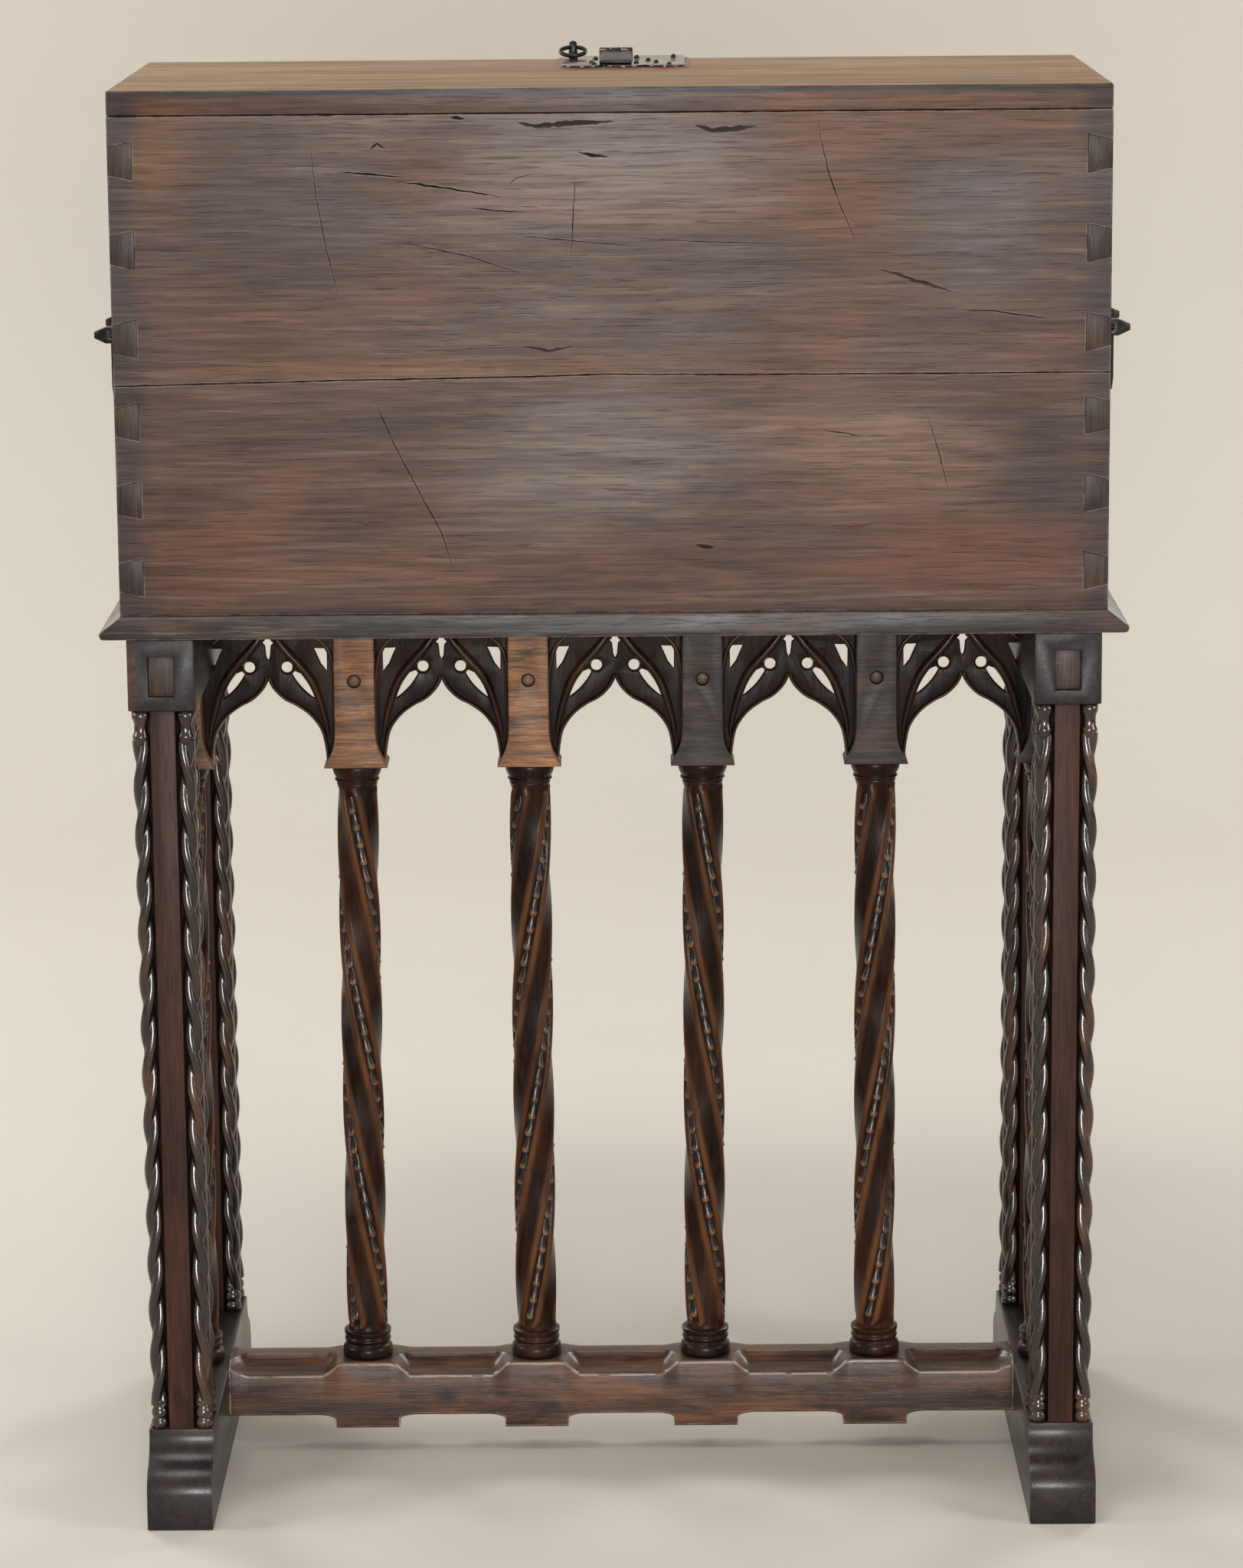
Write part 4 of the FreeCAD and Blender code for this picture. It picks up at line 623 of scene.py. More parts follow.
def addGash(bm, wide, deep, path):
    rear, proud = chest["rear"], gash["proud"]
    marks = []
    for (xa, za), (xb, zb) in zip(path, path[1:]):
        count = max(2, round(math.hypot(xb - xa, zb - za) / gash["step"]))
        marks += [(xa + (xb - xa) * i / count, za + (zb - za) * i / count) for i in range(count)]
    marks.append(path[-1])
    rings = []
    for i, (x, z) in enumerate(marks):
        before, after = marks[max(0, i - 1)], marks[min(len(marks) - 1, i + 1)]
        run = Vector((after[0] - before[0], after[1] - before[1])).normalized()
        side = Vector((-run.y, run.x))
        thin = max(gash["least"], abs(math.sin(math.pi * i / (len(marks) - 1))) ** gash["taper"])
        thin *= 0.8 + 0.5 * noise.noise(Vector((x * 220, z * 220, 0.5)))
        half = wide / 2 * thin * (deep * thin + proud) / (deep * thin)
        wander = 0.5 * min(wide, gash["wander"]) * noise.noise(Vector((x * 320, z * 320, 7.7)))
        middle = Vector((x, z)) + side * wander
        a, b = middle + side * half, middle - side * half
        spots = ((a.x, rear + proud, a.y), (b.x, rear + proud, b.y), (middle.x, rear - deep * thin, middle.y))
        rings.append([bm.verts.new(v) for v in spots])
    bridged(bm, rings)


def cutBy(bm, cutter):
    # the board less the cutter, both given as loose meshes
    board, tool = (loose("cutShape", outward(each)) for each in (bm, cutter))
    modifier = board.modifiers.new("cut", "BOOLEAN")
    modifier.operation, modifier.solver, modifier.object = "DIFFERENCE", "EXACT", tool
    modifier.use_self = True
    done = bmesh.new()
    done.from_mesh(evaluated(board))
    for shape in (board, tool):
        bpy.data.objects.remove(shape)
    return done


def lowerJoint(x):
    return jointHeight(x) - chest["gap"] / 2 + jag(x, 1.3, chest["ragged"])


def upperJoint(x):
    return jointHeight(x) + chest["gap"] / 2 + jag(x, 1.9, chest["ragged"])


def lidJoint(x):
    return chest["lid"] - chest["topGap"] + jag(x, 5.2, chest["topRagged"])


boards = (
    ("backBoardLower", "back_board_lower", chest["low"], chest["joint"], None, lowerJoint),
    ("backBoardUpper", "back_board_upper", chest["joint"], chest["lid"], upperJoint, lidJoint),
)
flat, steep = chest["crackSlope"]
for name, node, low, high, lowEdge, highEdge in boards:
    bm, cutter = bmesh.new(), bmesh.new()
    outline = tailedBoard(low, high, lowEdge, highEdge)
    addSlab(bm, outline, chest["rear"] - chest["back"], chest["rear"], chest["boardEase"])
    for wide, deep, path in gashes:
        if low < path[0][1] < high:
            addGash(cutter, wide, deep, path)
    board = finished(name, cutBy(bm, cutter), [wood["chestBack"], wood["crackDark"]], 5)
    for face in board.data.polygons:  # grime inside the cracks and the open joint
        inCrack = flat < face.normal.y < steep and abs(face.center.x) < chest["crackReach"]
        face.material_index = int(inCrack)
    ready(board, "carcass", "chest_walnut", node)
bm = bmesh.new()
addBoard(bm, *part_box("chest_top"), chest["lidEase"])
lid = finished("chestTop", bm, [wood["chestTop"], wood["chestBack"], wood["chestSide"]])
faced(lid, (1, (0, 1, 0), 0.6), (1, (0, -1, 0), 0.6), (2, (1, 0, 0), 0.6), (2, (-1, 0, 0), 0.6))
ready(lid, "carcass", "chest_walnut", "chest_top")
for name, node in (("chestSideLeft", "chest_side_left"), ("chestSideRight", "chest_side_right")):
    side = fromNode(node, name, [wood["chestSide"], wood["pinEnds"]], chest["sideEase"])
    ready(faced(side, (1, (0, 1, 0), 0.8)), "carcass", "chest_walnut", node)
bm = bmesh.new()
addBoard(bm, *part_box("chest_bottom"))
ready(finished("chestBottom", bm, wood["chestInside"]), "carcass", "chest_walnut", "chest_bottom")
print("carcass built")

# drawer nest, drawers and knobs
nest = {"x": [-0.423, -0.14767, -0.13767, 0.13767, 0.14767, 0.423], "shelf": 0.008, "rows": 3, "play": 0.0003,
        "ease": 0.0012}
drawer = {
    "count": 9, "front": 0.014, "wall": 0.008, "floor": 0.006, "knob": 0.009, "knobOut": 0.018,
    "beads": (0.012, 0.022), "proud": 0.0022, "sunk": 0.0002, "frontEase": 0.0014, "ease": 0.0008,
    "floorEase": 0.0004, "bead": [(0, 0), (0.0009, 0.8), (0.002, 1), (0.0031, 0.8), (0.004, 0)],
    "turned": [(0.62, 0), (0.62, 0.08), (0.42, 0.16), (0.4, 0.34), (0.6, 0.44), (0.92, 0.54), (1, 0.66),
               (0.92, 0.8), (0.66, 0.92), (0.28, 0.99)],
}
bm = bmesh.new()
low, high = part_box("drawer_partitions")
for x0, x1 in zip(nest["x"][1::2], nest["x"][2::2]):
    addBoard(bm, (x0, low.y, low.z), (x1, high.y, high.z), nest["ease"])
for j in range(nest["rows"]):
    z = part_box(f"drawer_{3 * j + 1}")[0].z - nest["play"]
    for x0, x1 in zip(nest["x"][::2], nest["x"][1::2]):
        addBoard(bm, (x0, low.y, z - nest["shelf"]), (x1, high.y, z), nest["ease"])
ready(finished("drawerNest", bm, wood["chestInside"]), "carcass", "drawer_wood", "drawer_partitions")

d = drawer
for n in range(1, d["count"] + 1):
    low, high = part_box(f"drawer_{n}")
    faceY = low.y + d["knobOut"]
    boxY = faceY + d["front"]
    leftX, rightX, rearY = low.x + d["wall"], high.x - d["wall"], high.y - d["wall"]
    wallZ = high.z - d["wall"]
    bm = bmesh.new()
    addBoard(bm, (low.x, faceY, low.z), (high.x, boxY, high.z), d["frontEase"])
    for inset in d["beads"]:  # two mitred beads round the front
        ring = []
        for grow, out in d["bead"]:
            x0, x1 = low.x + inset + grow, high.x - inset - grow
            z0, z1 = low.z + inset + grow, high.z - inset - grow
            y = faceY - d["proud"] * out + d["sunk"]
            ring.append([bm.verts.new((x, y, z)) for x, z in ((x0, z0), (x1, z0), (x1, z1), (x0, z1))])
        bridged(bm, ring + ring[:1], False)
    fronts = len(bm.faces)
    addBoard(bm, (low.x, boxY, low.z), (leftX, high.y, wallZ), d["ease"])
    addBoard(bm, (rightX, boxY, low.z), (high.x, high.y, wallZ), d["ease"])
    addBoard(bm, (leftX, rearY, low.z), (rightX, high.y, wallZ), d["ease"])
    addBoard(bm, (leftX, boxY, low.z), (rightX, rearY, low.z + d["floor"]), d["floorEase"])
    bm.faces.ensure_lookup_table()
    for face in bm.faces[fronts:]:
        face.material_index = 1
    box = finished(f"drawerBox{n}", bm, [wood["drawerFace"], wood["drawerBox"]])
    ready(box, f"drawer_{n}_box", "drawer_wood", f"drawer_{n}")
    bm = bmesh.new()
    profile = [(a * d["knob"], -b * d["knobOut"]) for a, b in d["turned"]]
    addLathe(bm, profile, ((low.x + high.x) / 2, faceY, (low.z + high.z) / 2), 24, "y")
    ready(finished(f"drawerKnob{n}", bm, iron), f"drawer_{n}_box", "iron")
print("drawers built")

# stand: boards, rails, posts and feet straight from their solids with eased arrises
eased = [
    ("top_rail", "topRail", "standDeep", 0.0014), ("sled_foot", "sledFoot", "footWood", 0.0016),
    ("rear_post", "rearPost", "standPost", 0.001), ("front_post", "frontPost", "standPost", 0.001),
]
for node, name, look, ease in eased:
    for side in ("left", "right"):
        each = f"{node}_{side}"
        onStand(fromNode(each, name + side.capitalize(), wood[look], ease), each)
plugs = "loper_channel_plugs"
onStand(fromNode(plugs, "loperChannelPlugs", wood["plugWood"], 0.0008), plugs)
plank = fromNode("stand_top", "standTop", [wood["standLong"], wood["standEdge"]], 0.0012)
onStand(faced(plank, (1, (0, 1, 0), 0.35), (1, (0, -1, 0), 0.35)), "stand_top")
for node, name, body in (("loper_left", "loperLeft", "loper_l"), ("loper_right", "loperRight", "loper_r")):
    ready(fromNode(node, name, wood["standDeep"], 0.0012), body, "stand_walnut", node)
imposts = fromNode("arcade_imposts", "arcadeImposts", [wood["bareWood"], wood["greyWood"]], 0.0014)
for face in imposts.data.polygons:
    face.material_index = 0 if face.center.x > 0 else 1
onStand(imposts, "arcade_imposts")
peg = {"radius": 0.0065, "z": 0.76, "rear": 0.2275, "front": 0.1805, "around": 28,
       "dome": [(0.2, 0.0), (0.7, 0.0003), (0.9, 0.0009), (1.0, 0.0018)]}
length = peg["rear"] - peg["front"]
domed = [(a * peg["radius"], b) for a, b in peg["dome"]]
domed += [(r, length - b) for r, b in domed[::-1]]
bm = bmesh.new()
for x in columnX:
    addLathe(bm, domed, (x, peg["front"], peg["z"]), peg["around"], "y")
onStand(finished("arcadePegs", bm, wood["pegEnds"], 50), "arcade_pegs")
print("stand built")

# low stretcher with seats, hollows and drop blocks
stretcher = {
    "end": 0.379, "half": 0.03, "low": 0.038, "seat": 0.0235, "seatZ": 0.091, "dip": 0.012, "farDip": 0.0024,
    "dipRun": 0.02, "endRise": 0.007, "scoop": -0.0072, "scoopRound": 0.014, "scoopPower": 4.5,
    "scoopSteps": 18, "far": [-0.018, -0.012], "block": 0.031, "blockLow": 0.025, "side": 0.008,
    "cove": 0.018, "coveSteps": (0.01, 0.04, 0.1, 1.0), "upright": 0.00002, "steps": 440, "heel": 0.002,
    "arris": [(0.0, 0.0032), (0.0007, 0.0012)], "lip": 0.0032, "nick": 0.0009, "worn": 0.55,
}


def eased01(t):
    t = max(0.0, min(1.0, t))
    return t * t * (3 - 2 * t)


def topHeight(x, across):
    s = stretcher
    near = min(abs(x - c) for c in columnX) - s["seat"]
    rise = s["endRise"] / s["dip"] * eased01(1 - (s["end"] - abs(x)) / s["dipRun"])
    dip = eased01(near / s["dipRun"]) - rise
    z = s["seatZ"] - s["farDip"] * dip
    # the scoop along the rear edge, round at both ends
    away = min(near, s["end"] - abs(x)) / s["scoopRound"]
    if away <= 0:
        return z
    edge = s["half"] - (s["half"] - s["scoop"]) * math.sqrt(1 - (1 - min(1.0, away)) ** 2)
    if across <= edge:
        return z
    t = min(1.0, (across - edge) / (s["half"] - edge))
    return z - (s["dip"] - s["farDip"]) * dip * (1 - (1 - t) ** s["scoopPower"])


def lowHeight(x, upright):
    s = stretcher
    away = min(abs(x - c) for c in columnX)
    if away < s["block"] - 1e-6 or (upright and away < s["block"] + 1e-6):
        return s["blockLow"]
    left = 1 - min(1.0, (away - s["block"]) / s["cove"])
    return s["low"] - (s["low"] - s["blockLow"] - s["side"]) * (1 - math.sqrt(max(0.0, 1 - left * left)))


s, h = stretcher, stretcher["half"]
stations = [(-s["end"] + 2 * s["end"] * i / s["steps"], False) for i in range(s["steps"] + 1)]
for c in columnX:
    for way in (-1, 1):
        stations += [(c + way * s["block"], True), (c + way * (s["block"] + s["upright"]), False)]
        stations += [(c + way * (s["block"] + s["cove"] * t), False) for t in s["coveSteps"]]
scooped = [s["scoop"] + (h - s["lip"] - s["scoop"]) * i / s["scoopSteps"] for i in range(s["scoopSteps"] + 1)]
across = [-h + s["lip"]] + s["far"] + scooped
bm = bmesh.new()
crest = bm.verts.layers.float.new("crest")
rings = []
for x, upright in sorted(stations):
    under = lowHeight(x, upright)
    farZ, nearZ = topHeight(x, -h), topHeight(x, h)
    nick = s["nick"] * max(0.0, noise.noise(Vector((x * 90, 2.2, 0))))
    ring = [(-h + s["heel"], under), (-h, under + s["heel"])]
    ring += [(-h + inset, farZ - drop - nick) for inset, drop in s["arris"]]
    ring += [(y, topHeight(x, y)) for y in across]
    ring += [(h - inset, nearZ - drop - nick) for inset, drop in s["arris"][::-1]]
    ring += [(h, under + s["heel"]), (h - s["heel"], under)]
    rings.append([bm.verts.new((x, middleY + y, z)) for y, z in ring])
    for k in (3, -4):  # the top arrises, painted lighter through crest: rubbed wear and a painted highlight line
        rings[-1][k][crest] = s["worn"]
bridged(bm, rings)
onStand(finished("lowStretcher", bm, wood["standLong"], 40), "low_stretcher")
print("stretcher carved")

# spiral columns: three straps with a sunk lane for the husks, hollow bands between
column = {
    "crest": 0.0197, "swell": 0.0006, "floor": 0.0158, "band": 0.0187, "hollow": 0.0175, "starts": 3,
    "around": 150, "rows": 210, "foot": 0.091, "trestleFoot": 0.086, "base": 0.027, "capital": 0.0185,
    "head": 0.6765, "lane": 0.122, "lipIn": 0.016, "lipOut": 0.014, "strap": 0.295, "step": 0.12, "fade": 0.3,
    "lipWear": 0.45, "endRound": 0.009, "endGap": 0.003,
    "below": [(0.0225, 0), (0.0238, 0.05), (0.0242, 0.15), (0.0242, 0.28), (0.0235, 0.38), (0.0222, 0.44),
              (0.0208, 0.48), (0.0205, 0.53), (0.0212, 0.57), (0.0222, 0.6), (0.0224, 0.65), (0.0217, 0.7),
              (0.0209, 0.73), (0.0209, 0.78), (0.0222, 0.82), (0.0226, 0.88), (0.0226, 0.97), (0.0216, 1.0),
              (0.0183, 1.02)],
    "above": [(0.0183, -0.08), (0.019, -0.06), (0.0193, 0.0), (0.0193, 0.08), (0.0189, 0.11), (0.0191, 0.14),
              (0.0204, 0.16), (0.0211, 0.19), (0.0212, 0.23), (0.0208, 0.27), (0.0201, 0.3), (0.02, 0.34),
              (0.0206, 0.38), (0.0215, 0.46), (0.0223, 0.55), (0.0229, 0.65), (0.0233, 0.76), (0.0234, 0.86),
              (0.0232, 0.94), (0.0226, 1.0)],
}
wholeTurn = 2 * math.pi


def shaftRadius(away, z, low, high):
    # radius and wear, away from the middle of a strap as a share of one third of the round
    c = column
    shoulder = c["crest"] - c["swell"]
    inside = min(z - low, high - z) - c["endGap"]
    if inside <= 0:
        return c["band"], 0.0
    if inside < c["endRound"]:
        away = away / max(0.05, math.sqrt(1 - (1 - inside / c["endRound"]) ** 2))
    if away < c["lane"] - c["lipIn"]:
        return c["floor"], 0.0
    if away < c["lane"] + c["lipOut"]:
        rise = eased01((away - c["lane"] + c["lipIn"]) / (c["lipIn"] + c["lipOut"]))
        return c["floor"] + (shoulder - c["floor"]) * rise, c["lipWear"] * rise
    if away < c["strap"]:
        hump = math.sin(math.pi * (away - c["lane"] - c["lipOut"]) / (c["strap"] - c["lane"] - c["lipOut"]))
        return shoulder + c["swell"] * hump, c["lipWear"] + (1 - c["lipWear"]) * hump
    t = min(1.0, (away - c["strap"]) / (0.5 - c["strap"]))
    drop = (shoulder - c["band"]) * eased01(t / c["step"])
    drop += (c["band"] - c["hollow"]) * math.sin(math.pi / 2 * t)
    return shoulder - drop, c["lipWear"] * (1 - eased01(t / c["fade"]))


def spiralColumn(name, node, x, foot, hand):
    c = column
    bm = bmesh.new()
    crest = bm.verts.layers.float.new("crest")
    centre = Vector((x, middleY, 0))
    low, high = foot + c["base"], c["head"] - c["capital"]
    rings = []
    for j in range(c["rows"] + 1):
        share = j / c["rows"]
        z = low + share * (high - low)
        ring = []
        for i in range(c["around"]):
            turn = wholeTurn * i / c["around"]
            third = (turn / wholeTurn - hand * share) * c["starts"] % 1
            r, worn = shaftRadius(abs(third - 0.5), z, low, high)
            vert = bm.verts.new((x + r * math.cos(turn), middleY + r * math.sin(turn), z))
            vert[crest] = worn
            ring.append(vert)
        rings.append(ring)
    bridged(bm, rings)
    addLathe(bm, [(a, foot + b * c["base"]) for a, b in c["below"]], centre)
    addLathe(bm, [(a, high + b * c["capital"]) for a, b in c["above"]], centre)
    return onStand(finished(name, bm, wood["carved"], 50), node)


columns = []
for i, x in enumerate(columnX):
    hand = -1 if i % 2 == 0 else 1
    columns.append((f"arcadeColumn{i + 1}", f"arcade_column_{i + 1}", x, column["foot"], hand))
for side, way in (("right", 1), ("left", -1)):
    name = "trestleColumn" + side.capitalize()
    columns.append((name, f"trestle_column_{side}", way * trestleX, column["trestleFoot"], way))
for row in columns:
    spiralColumn(*row)
print("columns turned:", len(columns))

# geometry node helpers


def nodeTree(name, inputs):
    tree = bpy.data.node_groups.new(name, "GeometryNodeTree")
    for label, kind in [("Geometry", "Geometry"), *inputs]:
        tree.interface.new_socket(name=label, in_out="INPUT", socket_type="NodeSocket" + kind)
    tree.interface.new_socket(name="Geometry", in_out="OUTPUT", socket_type="NodeSocketGeometry")
    return tree, tree.nodes.new("NodeGroupInput").outputs


def closed(tree, geometry, material):
    real = put(tree, "GeometryNodeRealizeInstances", {"Geometry": geometry}).outputs[0]
    smooth = put(tree, "GeometryNodeSetShadeSmooth", {"Geometry": real}).outputs[0]
    dressed = put(tree, "GeometryNodeSetMaterial", {"Geometry": smooth, "Material": material}).outputs[0]
    put(tree, "NodeGroupOutput", {0: dressed})


def grown(name, points, attributes, tree, values):
    # runs a tree on loose points and keeps the plain mesh
    mesh = bpy.data.meshes.new(name)
    mesh.from_pydata(points, [], [])
    for label, numbers in attributes.items():
        mesh.attributes.new(label, "FLOAT", "POINT").data.foreach_set("value", numbers)
    holder = linked(name + "Points", mesh)
    modifier = holder.modifiers.new(name, "NODES")
    modifier.node_group = tree
    for item in tree.interface.items_tree:
        if item.item_type == "SOCKET" and item.in_out == "INPUT" and item.name in values:
            modifier[item.identifier] = values[item.name]
    result = evaluated(holder)
    result.name = name
    holder.modifiers.clear()
    bpy.data.objects.remove(holder)
    return linked(name, result)


def named(tree, label):
    return put(tree, "GeometryNodeInputNamedAttribute", {"Name": label}, data_type="FLOAT").outputs[0]


def picked(tree, hand):
    names = {0: times(tree, named(tree, "hand"), hand), 1: 0.0}
    return put(tree, "FunctionNodeCompare", names, operation="GREATER_THAN").outputs[0]


def shapeOf(tree, obj):
    return put(tree, "GeometryNodeObjectInfo", {"Object": obj}).outputs["Geometry"]


def vector(tree, parts):
    return put(tree, "ShaderNodeCombineXYZ", parts).outputs[0]


def setOn(tree, points, shape, **more):
    names = {"Points": points, "Instance": shape, **more}
    return put(tree, "GeometryNodeInstanceOnPoints", names).outputs[0]


# husks: chains of buds down the lanes of every shaft
husk = {"length": 0.0172, "every": 0.0165, "width": 0.0045, "height": 0.0042, "along": 8, "across": 6,
        "clear": 0.011, "sunk": 0.0003, "widest": 0.72, "highest": 0.8, "tip": (0.6, 0.22)}


def budSize(t):
    # width and height along the bud, each round at the tip
    w, h = husk["widest"], husk["highest"]
    fat = 0.5 + 0.5 * math.sin(math.pi / 2 * t / w)
    if t >= w:
        fat = math.sqrt(max(0.0, 1 - ((t - w) / (1 - w)) ** 2))
    rise = 0.3 + 0.7 * (t / h) ** 1.6
    if t >= h:
        rise = math.sqrt(max(0.0, 1 - ((t - h) / (1 - h)) ** 2))
    return husk["width"] * fat, husk["height"] * rise


def huskBud():
    bm = bmesh.new()
    crest = bm.verts.layers.float.new("crest")
    wornAndLitFrom, wornAndLitRun = husk["tip"]
    rows = []
    for i in range(husk["along"] + 1):
        t = 1 - (1 - i / husk["along"]) ** 1.25
        wide, tall = budSize(t)
        ring = []
        for j in range(husk["across"] + 1):
            turn = math.pi * j / husk["across"]
            x = husk["length"] * (t - 0.5)
            ring.append(bm.verts.new((x, -wide * math.cos(turn), tall * math.sin(turn) - husk["sunk"])))
            # crest paints the lower tips lighter: rubbed wear and a painted highlight
            ring[-1][crest] = eased01((t - wornAndLitFrom) / wornAndLitRun) * math.sin(turn)
        rows.append(ring)
    for a, b in zip(rows, rows[1:]):
        for j in range(husk["across"]):
            bm.faces.new((a[j], b[j], b[j + 1], a[j + 1]))
    bmesh.ops.remove_doubles(bm, verts=bm.verts, dist=0.00005)
    return loose("huskBud", bm)


bud = huskBud()
shaftLow, shaftHigh = column["foot"] + column["base"], column["head"] - column["capital"]
shaftRun = shaftHigh - shaftLow
huskCount = round((shaftRun - 2 * husk["clear"]) / husk["every"])
tree, given = nodeTree("huskChains", [("Bud", "Object"), ("Count", "Int"), ("Radius", "Float"),
                                      ("Height", "Float"), ("Clear", "Float"), ("Material", "Material")])
index = put(tree, "GeometryNodeInputIndex").outputs[0]
lane = calc(tree, "FLOOR", calc(tree, "DIVIDE", plus(tree, index, 0.5), given["Count"]))
step = calc(tree, "SUBTRACT", index, times(tree, lane, given["Count"]))
share = calc(tree, "DIVIDE", plus(tree, step, 0.5), given["Count"])
free = calc(tree, "SUBTRACT", 1.0, times(tree, given["Clear"], 2.0))
share = plus(tree, given["Clear"], times(tree, share, free))
total = times(tree, given["Count"], column["starts"])
start = times(tree, plus(tree, lane, 0.5), wholeTurn / column["starts"])
budShape = shapeOf(tree, given["Bud"])
both = tree.nodes.new("GeometryNodeJoinGeometry")
for hand in (1, -1):
    turn = plus(tree, start, times(tree, share, hand * wholeTurn))
    cosine, sine = calc(tree, "COSINE", turn), calc(tree, "SINE", turn)
    spot = vector(tree, {0: times(tree, cosine, given["Radius"]), 1: times(tree, sine, given["Radius"]),
                         2: times(tree, share, given["Height"])})
    lean = times(tree, given["Radius"], hand * wholeTurn)
    downward = vector(tree, {0: times(tree, sine, lean), 1: times(tree, times(tree, cosine, lean), -1.0),
                             2: times(tree, given["Height"], -1.0)})
    names = {0: vector(tree, {0: cosine, 1: sine}), 1: downward}
    facing = put(tree, "FunctionNodeAxesToRotation", names, primary_axis="Z", secondary_axis="X").outputs[0]
    beads = put(tree, "GeometryNodePoints", {"Count": total, "Position": spot}).outputs[0]
    chain = setOn(tree, beads, budShape, Rotation=facing)
    tree.links.new(setOn(tree, given["Geometry"], chain, Selection=picked(tree, hand)), both.inputs[0])
closed(tree, both.outputs[0], given["Material"])
feet = [(row[2], middleY, shaftLow) for row in columns]
values = {"Bud": bud, "Count": huskCount, "Radius": column["floor"], "Height": shaftRun,
          "Clear": husk["clear"] / shaftRun, "Material": wood["husk"]}
onStand(grown("huskCarving", feet, {"hand": [row[4] for row in columns]}, tree, values))
bpy.data.objects.remove(bud)
print("husks carved:", huskCount * column["starts"] * len(columns))

# rope colonnettes at the post corners
rope = {
    "strand": 0.0049, "offset": 0.0033, "around": 28, "pitch": 0.09, "steps": 190, "foot": 0.086,
    "head": 0.768, "base": 0.024, "cap": 0.03, "lap": 0.002, "corner": 0.0203, "postY": 0.178,
    "below": [(0.0081, 0), (0.0081, 0.26), (0.0076, 0.33), (0.0067, 0.39), (0.0067, 0.45), (0.0075, 0.51),
              (0.0079, 0.58), (0.0078, 0.68), (0.007, 0.76), (0.0061, 0.84), (0.0058, 1.1)],
    "above": [(0.0058, 1.05), (0.0062, 0.95), (0.0074, 0.9), (0.0077, 0.83), (0.0072, 0.76), (0.0062, 0.7),
              (0.006, 0.5), (0.0063, 0.4), (0.0074, 0.3), (0.008, 0.24), (0.0081, 0.0)],
}


def ringCurve(name, spots):
    curve = bpy.data.curves.new(name, "CURVE")
    curve.dimensions = "3D"
    spline = curve.splines.new("POLY")
    spline.points.add(len(spots) - 1)
    for point, (a, b) in zip(spline.points, spots):
        point.co = (a, b, 0, 1)
    spline.use_cyclic_u = True
    return linked(name, curve)


def strandSection():
    # two round strands side by side
    spots = []
    for i in range(rope["around"]):
        t = wholeTurn * i / rope["around"]
        r = rope["offset"] * abs(math.cos(t))
        r += math.sqrt(rope["strand"] * rope["strand"] - (rope["offset"] * math.sin(t)) ** 2)
        spots.append((r * math.cos(t), r * math.sin(t)))
    return ringCurve("strandSection", spots)


def ropeEnds():
    bm = bmesh.new()
    addLathe(bm, [(r, rope["foot"] + z * rope["base"]) for r, z in rope["below"]], (0, 0, 0), 20)
    addLathe(bm, [(r, rope["head"] - z * rope["cap"]) for r, z in rope["above"]], (0, 0, 0), 20)
    return loose("ropeEnds", outward(bm))


section, ends = strandSection(), ropeEnds()
ropeLow = rope["foot"] + rope["base"] - rope["lap"]
ropeHigh = rope["head"] - rope["cap"] + rope["lap"]
tree, given = nodeTree("ropeTwist", [("Section", "Object"), ("Ends", "Object"), ("Turns", "Float"),
                                     ("Steps", "Int"), ("Material", "Material")])
profile, endShape = shapeOf(tree, given["Section"]), shapeOf(tree, given["Ends"])
names = {"Start": (0, 0, ropeLow), "End": (0, 0, ropeHigh)}
line = put(tree, "GeometryNodeCurvePrimitiveLine", names).outputs[0]
fine = put(tree, "GeometryNodeResampleCurve", {"Curve": line, "Count": given["Steps"]}).outputs[0]
share = put(tree, "GeometryNodeSplineParameter").outputs["Factor"]
both = tree.nodes.new("GeometryNodeJoinGeometry")
for hand in (1, -1):
    tilt = times(tree, times(tree, share, given["Turns"]), hand * wholeTurn)
    wound = put(tree, "GeometryNodeSetCurveTilt", {"Curve": fine, "Tilt": tilt}).outputs[0]
    names = {"Curve": wound, "Profile Curve": profile, "Fill Caps": True}
    whole = put(tree, "GeometryNodeJoinGeometry", {0: put(tree, "GeometryNodeCurveToMesh", names).outputs[0]})
    tree.links.new(endShape, whole.inputs[0])
    ropes = setOn(tree, given["Geometry"], whole.outputs[0], Selection=picked(tree, hand))
    tree.links.new(ropes, both.inputs[0])
closed(tree, both.outputs[0], given["Material"])
values = {"Section": section, "Ends": ends, "Turns": (ropeHigh - ropeLow) / rope["pitch"],
          "Steps": rope["steps"], "Material": wood["ropeWood"]}
for side, sign in (("left", -1), ("right", 1)):
    places, hands = [], []
    for end in (-1, 1):
        for along in (-1, 1):
            for across in (-1, 1):
                x = sign * trestleX + across * rope["corner"]
                places.append((x, middleY + end * rope["postY"] + along * rope["corner"], 0))
                hands.append(across * along)
    ropes = grown("ropeColonnettes" + side.capitalize(), places, {"hand": hands}, tree, values)
    onStand(ropes, "rope_colonnettes_" + side)
bpy.data.objects.remove(section)
bpy.data.objects.remove(ends)
print("ropes twisted")

